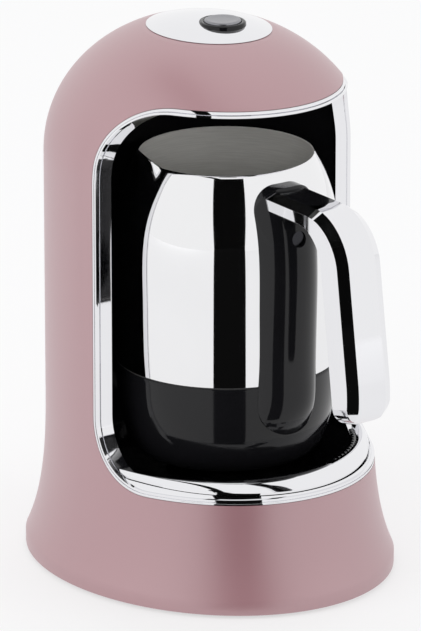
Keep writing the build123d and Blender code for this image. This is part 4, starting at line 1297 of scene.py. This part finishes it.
@dataclass
class Handle:
    """Hooked grip with a plated skin and a black filling, on a strip along the pot."""

    form: BodyForm
    pot: Pot
    reach: float = 147.0 * MM
    half: float = 13.5 * MM
    facet: Point = (5.2 * MM, 3.4 * MM)
    facet_fade: float = 0.7
    facet_least: float = 0.8 * MM
    top: float = 219.0 * MM
    under: float = 206.5 * MM
    root: float = 66.0 * MM
    shoulder: float = 133.7 * MM
    bend: float = 131.0 * MM
    end: float = 108.5 * MM
    toe: float = 129.0 * MM
    toe_rise: float = 4.5 * MM
    inner_top: float = 114.5 * MM
    rounds: tuple[float, ...] = (30 * MM, 60 * MM, 13 * MM, 6.5 * MM, 18 * MM)
    skin: float = 2.4 * MM
    seam: float = 0.15 * MM
    window_half: float = 8.6 * MM
    window_front: float = 104.0 * MM
    bulge: float = 9.0 * MM
    strip_half: float = 18.0 * MM
    strip_arch: float = 11.8 * MM
    strip_root: float = 26.0 * MM
    strip_heights: Point = (87.0 * MM, 220.5 * MM)
    strip_rounds: Point = (17.0 * MM, 14.0 * MM)
    strip_dip: float = 1.0 * MM
    strip_way: Point = (0.6, 1.0)
    strip_steps: int = 28
    bend_steps: int = 12
    end_steps: int = 14
    window_steps: int = 6
    end_round: float = 12.3 * MM
    end_gap: float = 0.3 * MM
    screw_z: float = 194.5 * MM
    recess: Point = (4.2 * MM, 3.0 * MM)
    skin_edge: float = 0.4 * MM
    core_edge: float = 0.3 * MM
    mount_edge: float = 0.6 * MM

    def grip(self, name: str, inset: float, half: float, grow: float) -> Piece:
        """Hooked solid with bevelled sides.

        Args:
            name: Name of the object.
            inset: Distance that its outer side moves inwards.
            half: Half width.
            grow: Distance that its side towards the pot moves outwards.

        Returns:
            The solid.
        """
        y = self.form.y
        slope = self.toe_rise / (self.reach - self.toe)
        corners = [
            (self.shoulder - inset, self.top - inset),
            (self.reach - inset, self.bend),
            (self.reach - inset, self.end + self.toe_rise + inset),
            (self.toe - grow, self.end + inset - grow * slope),
            (self.inner_top - grow, self.under - grow),
        ]
        ends = [(self.root, self.under - grow), (self.root, self.top - inset)]
        deep, wide = (max(size - inset * self.facet_fade, self.facet_least) for size in self.facet)
        flat = half - deep
        mesh = Mesh()
        mesh.outline([(-flat, y - out, z) for out, z in corners + ends])
        for (out, z), radius in zip(corners, self.rounds):
            size = radius - (grow if out == corners[-1][0] else inset)
            spot = Vector((-flat, y - out, z))
            vert = min(mesh.bm.verts, key=lambda v: (v.co - spot).length)
            size *= tan(vert.calc_edge_angle() / 2)
            mesh.bevel([vert], size, self.bend_steps, "VERTICES")
        mesh.push(next(iter(mesh.bm.faces)), (2 * flat, 0, 0))
        mesh.tidy()
        for side in (-1, 1):
            faces = [face for face in mesh.bm.faces if face.normal.x * side > 0.99]
            bmesh.ops.inset_region(
                mesh.bm, faces=faces, thickness=wide, depth=deep, use_even_offset=True
            )
        grip = mesh.tidy().object(name)
        return combine(grip, self.end_form(inset, half, slope), Join.KEEP)

    def end_form(self, inset: float, half: float, slope: float) -> Piece:
        """Slanted block whose rounded lower corners give the grip its end."""
        wide = half + self.end_gap
        low = self.end + inset - self.toe * slope - self.end_gap
        corners = rectangle(-wide, wide, low, low + FAR)
        mesh = Mesh().prism([(x, self.form.y, z) for x, z in corners], (0, -FAR, FAR * slope))
        mesh.round_edges(Y, Z, low, self.end_round - inset, self.end_steps, slack=FAR / 2)
        return mesh.tidy().object("end_form")

    def block(self, half: float, front: float, low: float) -> Piece:
        """Upright block of the opening in the head."""
        y = self.form.y
        corners = rectangle(-half, half, y - self.root, y - front)
        mesh = Mesh().prism([(x, out, low) for x, out in corners], (0, 0, FAR / 2))
        mesh.round_edges(Z, Y, y - front, half / 2, self.window_steps)
        return mesh.tidy().object("block")

    def front_block(self) -> Piece:
        """Block of everything in front of the head's opening."""
        y = self.form.y - self.window_front
        corners = rectangle(-FAR, FAR, y, y - FAR)
        return Mesh().prism([(x, out, 0) for x, out in corners], (0, 0, 2 * FAR)).object("front")

    def strip(self, grow: float) -> Piece:
        """Strip that follows the pot's side, grown outwards by grow."""
        pot = self.pot
        half = self.strip_half + grow
        low, high = self.strip_heights
        crown = smooth_line(
            [
                (pot.foot[0], pot.waist[1]),
                (pot.joint[0] - self.strip_dip, (low + pot.joint[1]) / 2),
                pot.joint,
                pot.belly,
                pot.shoulder,
                pot.mouth,
            ],
            self.strip_way,
            pot.mouth_way,
            per_span=12,
        )
        radius = (half**2 + self.strip_arch**2) / (2 * self.strip_arch)
        spread = np.arcsin(half / radius)
        steps = self.strip_steps
        section = [
            (radius * sin(turn), radius * (1 - cos(turn)))
            for turn in (spread * (2 * i / steps - 1) for i in range(steps + 1))
        ]
        section += [(half, self.strip_root), (-half, self.strip_root)]
        mesh = Mesh()
        start = pot.y - self.bulge - grow - crown[0][0]
        first = face = mesh.outline([(x, start + back, crown[0][1]) for x, back in section])
        for (out, z), (next_out, next_z) in zip(crown, crown[1:]):
            moved = mesh.push(face, (0, out - next_out, next_z - z))
            if face is not first:
                bmesh.ops.delete(mesh.bm, geom=[face], context="FACES_ONLY")
            face = moved
        strip = mesh.tidy().object("strip")
        levels = (low - grow, high + grow)
        corners = rectangle(-half, half, *levels)
        outline = Mesh().prism([(x, -FAR, z) for x, z in corners], (0, 2 * FAR, 0))
        for level, size in zip(levels, self.strip_rounds):
            outline.round_edges(Y, Z, level, size, self.end_steps)
        return combine(strip, outline.tidy().object("outline"), Join.KEEP)

    def shell(self) -> Piece:
        """Plated skin of the grip."""
        shell = self.grip("grip_skin", 0, self.half, 0)
        cavity = self.grip("cavity", self.skin, self.half - self.skin, self.bulge)
        window = self.block(self.window_half, self.window_front, self.under)
        for room in (cavity, window, self.strip(self.seam)):
            combine(shell, room, Join.CUT)
        soften(shell, angle=25, edge=self.skin_edge)
        return stand_in(shell, Side.POT, "chrome_plate", "handle_shell")

    def filling(self, name: str) -> Piece:
        """Black filling inside the skin."""
        inset = self.skin + self.seam
        return self.grip(name, inset, self.half - inset, 0)

    def core(self) -> Piece:
        """Filling of the grip in front of the head."""
        core = combine(self.filling("grip_filling"), self.front_block(), Join.KEEP)
        soften(core, angle=25, edge=self.core_edge)
        return stand_in(core, Side.POT, "black_gloss", "handle_core")

    def mount(self) -> Piece:
        """Strip with the head's filling, its top pad and the screw's recess."""
        mount = self.strip(0)
        combine(mount, combine(self.filling("head"), self.front_block(), Join.CUT), Join.ADD)
        pad = self.block(
            self.window_half - self.seam, self.window_front - self.seam, self.under + self.skin
        )
        combine(mount, combine(pad, self.grip("pad_top", 0, self.half, 0), Join.KEEP), Join.ADD)
        for room in self.pot.room(self.seam):
            combine(mount, room, Join.CUT)
        radius, depth = self.recess
        length = FAR / 2
        crown = self.pot.y - self.pot.shoulder[0] - self.bulge
        middle = (0, crown + depth - length / 2, self.screw_z)
        combine(mount, bore(radius, length, middle), Join.CUT)
        soften(mount, angle=30, edge=self.mount_edge, segments=3)
        return stand_in(mount, Side.POT, "black_gloss", "handle_mount")

    def build(self) -> None:
        """Skin, filling and mount."""
        self.shell()
        self.core()
        self.mount()


# ------------------------------------------------------------------ studio
@dataclass(frozen=True)
class Lamp:
    """Large soft panel that faces the object.

    Its turn is in degrees from the front towards the left, its tilt in degrees over the floor,
    and its size is its width and height in metres.
    """

    name: str
    turn: float
    tilt: float
    distance: float
    size: Point
    glow: float


@dataclass
class Studio:
    """Floor, lights, dark cards and camera."""

    target: Place = (0.95 * MM, 18.76 * MM, 131.2 * MM)
    turn: float = 34.4
    tilt: float = 18.05
    distance: float = 3.325
    lens: float = 360.4
    gap: Point = (-12.3, 18.5)
    gap_spread: float = 7.0
    card_reach: Point = (0.135, 4.4)
    card_y: float = 2.76 * MM
    card_z: float = 0.5 * MM
    card_colour: Colour = (0.004, 0.004, 0.004)
    flag_height: float = 4.8
    high_card_z: float = 1.6
    high_card_ends: tuple[Point, Point] = ((-1.10, -1.25), (-0.38, 0.80))
    high_card_half: float = 0.12
    floor_reach: float = 2.4
    surround: float = 0.66
    floor_colour: Colour = (0.87, 0.87, 0.88)
    floor_glow: float = 0.6
    lamps: tuple[Lamp, ...] = (
        Lamp("left_panel", 88, 24, 2.7, (2.4, 2.2), 1.6),
        Lamp("right_panel", -42, 22, 2.8, (2.0, 2.0), 1.5),
        Lamp("rear_panel", -150, 58, 2.4, (1.6, 1.6), 1.8),
        Lamp("front_panel", 34.4, 17, 4.1, (2.4, 0.9), 3.0),
    )

    def back(self, turn: float, tilt: float = 0.0) -> Vector:
        """Direction from the object, turned from the front and lifted by degrees."""
        turn, tilt = radians(turn), radians(tilt)
        return Vector((-sin(turn) * cos(tilt), -cos(turn) * cos(tilt), sin(tilt)))

    def camera(self) -> None:
        """Camera at the viewing angle."""
        data = bpy.data.cameras.new("camera")
        data.lens = self.lens
        data.sensor_width = 36
        data.clip_end = 50
        camera = bpy.data.objects.new("camera", data)
        bpy.context.scene.collection.objects.link(camera)
        back = self.back(self.turn, self.tilt)
        camera.location = Vector(self.target) + back * self.distance
        camera.rotation_euler = back.to_track_quat("Z", "Y").to_euler()
        bpy.context.scene.camera = camera

    def seen(self, tree: bpy.types.NodeTree) -> Value:
        """One for rays of the eye and of mirrors, and nought for scattered light."""
        path = tree.nodes.new("ShaderNodeLightPath")
        eye, mirror, glass = (
            Value(tree, path.outputs[f"Is {kind} Ray"])
            for kind in ("Camera", "Glossy", "Transmission")
        )
        return (eye + mirror + glass).ramp(0, 1)

    def flat_material(self, name: str, colour: Colour, glow: float) -> Material:
        """Matt colour that shows partly plain white to the eye and to mirrors.

        Args:
            name: Name of the material.
            colour: Linear colour.
            glow: Share of plain white.

        Returns:
            The material.
        """
        recipe = Recipe(name)
        recipe.finish(Base_Color=rgba(colour), Roughness=0.9, Specular_IOR_Level=0.0)
        white = recipe.node("ShaderNodeEmission", values={"Color": (1.0, 1.0, 1.0, 1.0)})
        share = self.seen(recipe.tree) * glow
        shaders = {0: share, 1: recipe.shader.outputs[0], 2: white.outputs[0]}
        blend = recipe.node("ShaderNodeMixShader", values=shaders)
        recipe.feed(recipe.output.inputs["Surface"], blend.outputs[0])
        return recipe.material

    def floor(self) -> None:
        """Pale floor far past the view."""
        mesh = Mesh()
        bmesh.ops.create_grid(mesh.bm, x_segments=8, y_segments=8, size=self.floor_reach)
        floor = mesh.object("floor")
        paper = self.flat_material("floor_paper", self.floor_colour, self.floor_glow)
        floor.data.materials.append(paper)

    def card(self, name: str, outline: Sequence[Vector]) -> None:
        """Dark flat card that only polished faces see.

        Args:
            name: Name of the card.
            outline: Its corners.
        """
        mesh = Mesh()
        mesh.outline(outline)
        card = mesh.object(name)
        card.data.materials.append(self.flat_material(name, self.card_colour, glow=0.0))
        card.visible_camera = False
        card.visible_diffuse = False
        card.visible_shadow = False

    def dark_gap(self) -> None:
        """Dark gap between the white sides of the studio, from the floor to overhead."""
        near, far = self.card_reach
        lift = Vector((0, self.card_y, self.card_z))
        rise = Vector((0, 0, self.flag_height)) + lift
        low, high = self.gap
        left, right = (self.back(self.turn - turn) for turn in (low, high))
        turns = (low - self.gap_spread, high + self.gap_spread)
        wide_left, wide_right = (self.back(self.turn - turn) * far + rise for turn in turns)
        end = [left * far + lift, right * far + lift]
        self.card("floor_card", [left * near + lift, right * near + lift, *end[::-1]])
        self.card("tall_card", [*end, wide_right, wide_left])
        first, last = (Vector((x, y, self.high_card_z)) for x, y in self.high_card_ends)
        side = (last - first).cross(Vector((0, 0, 1))).normalized() * self.high_card_half
        self.card("high_card", [first - side, first + side, last + side, last - side])

    def light(self, lamp: Lamp) -> None:
        """Put one lamp up."""
        data = bpy.data.lights.new(lamp.name, "AREA")
        data.shape = "RECTANGLE"
        data.size, data.size_y = lamp.size
        data.energy = lamp.glow * pi * lamp.size[0] * lamp.size[1]
        panel = bpy.data.objects.new(lamp.name, data)
        panel.visible_glossy = False
        bpy.context.scene.collection.objects.link(panel)
        way = self.back(lamp.turn, lamp.tilt)
        panel.location = Vector((0, 0, self.target[2])) + way * lamp.distance
        panel.rotation_euler = way.to_track_quat("Z", "Y").to_euler()

    def lights(self) -> None:
        """White surround, and the soft panels on both sides, behind and in front."""
        world = bpy.data.worlds.new("surround")
        bpy.context.scene.world = world
        world.use_nodes = True
        tree = world.node_tree
        blend = tree.nodes.new("ShaderNodeMixShader")
        tree.links.new(self.seen(tree).socket, blend.inputs[0])
        for place, strength in ((1, self.surround), (2, 1.0)):
            background = tree.nodes.new("ShaderNodeBackground")
            background.inputs["Color"].default_value = (1, 1, 1, 1)
            background.inputs["Strength"].default_value = strength
            tree.links.new(background.outputs[0], blend.inputs[place])
        tree.links.new(blend.outputs[0], tree.nodes["World Output"].inputs["Surface"])
        for lamp in self.lamps:
            self.light(lamp)

    def build(self) -> None:
        """Whole studio."""
        view = bpy.context.scene.view_settings
        view.view_transform = "Standard"
        self.camera()
        self.floor()
        self.dark_gap()
        self.lights()


@cache
def palette() -> Palette:
    """The machine's one palette."""
    return Palette(BodyForm())


def main() -> None:
    """Build the studio and dress every piece."""
    logging.basicConfig(level=logging.INFO, format="%(name)s: %(message)s")
    form = BodyForm()
    Studio().build()
    palette().dress_frame()
    Housing(form).build()
    Bezel(form).build()
    TopPanel(form).build()
    pot = Pot(form)
    pot.build()
    Handle(form, pot).build()
    merged_copy("niche_liner", "niche", "black_gloss")


if __name__ == "__main__":
    main()
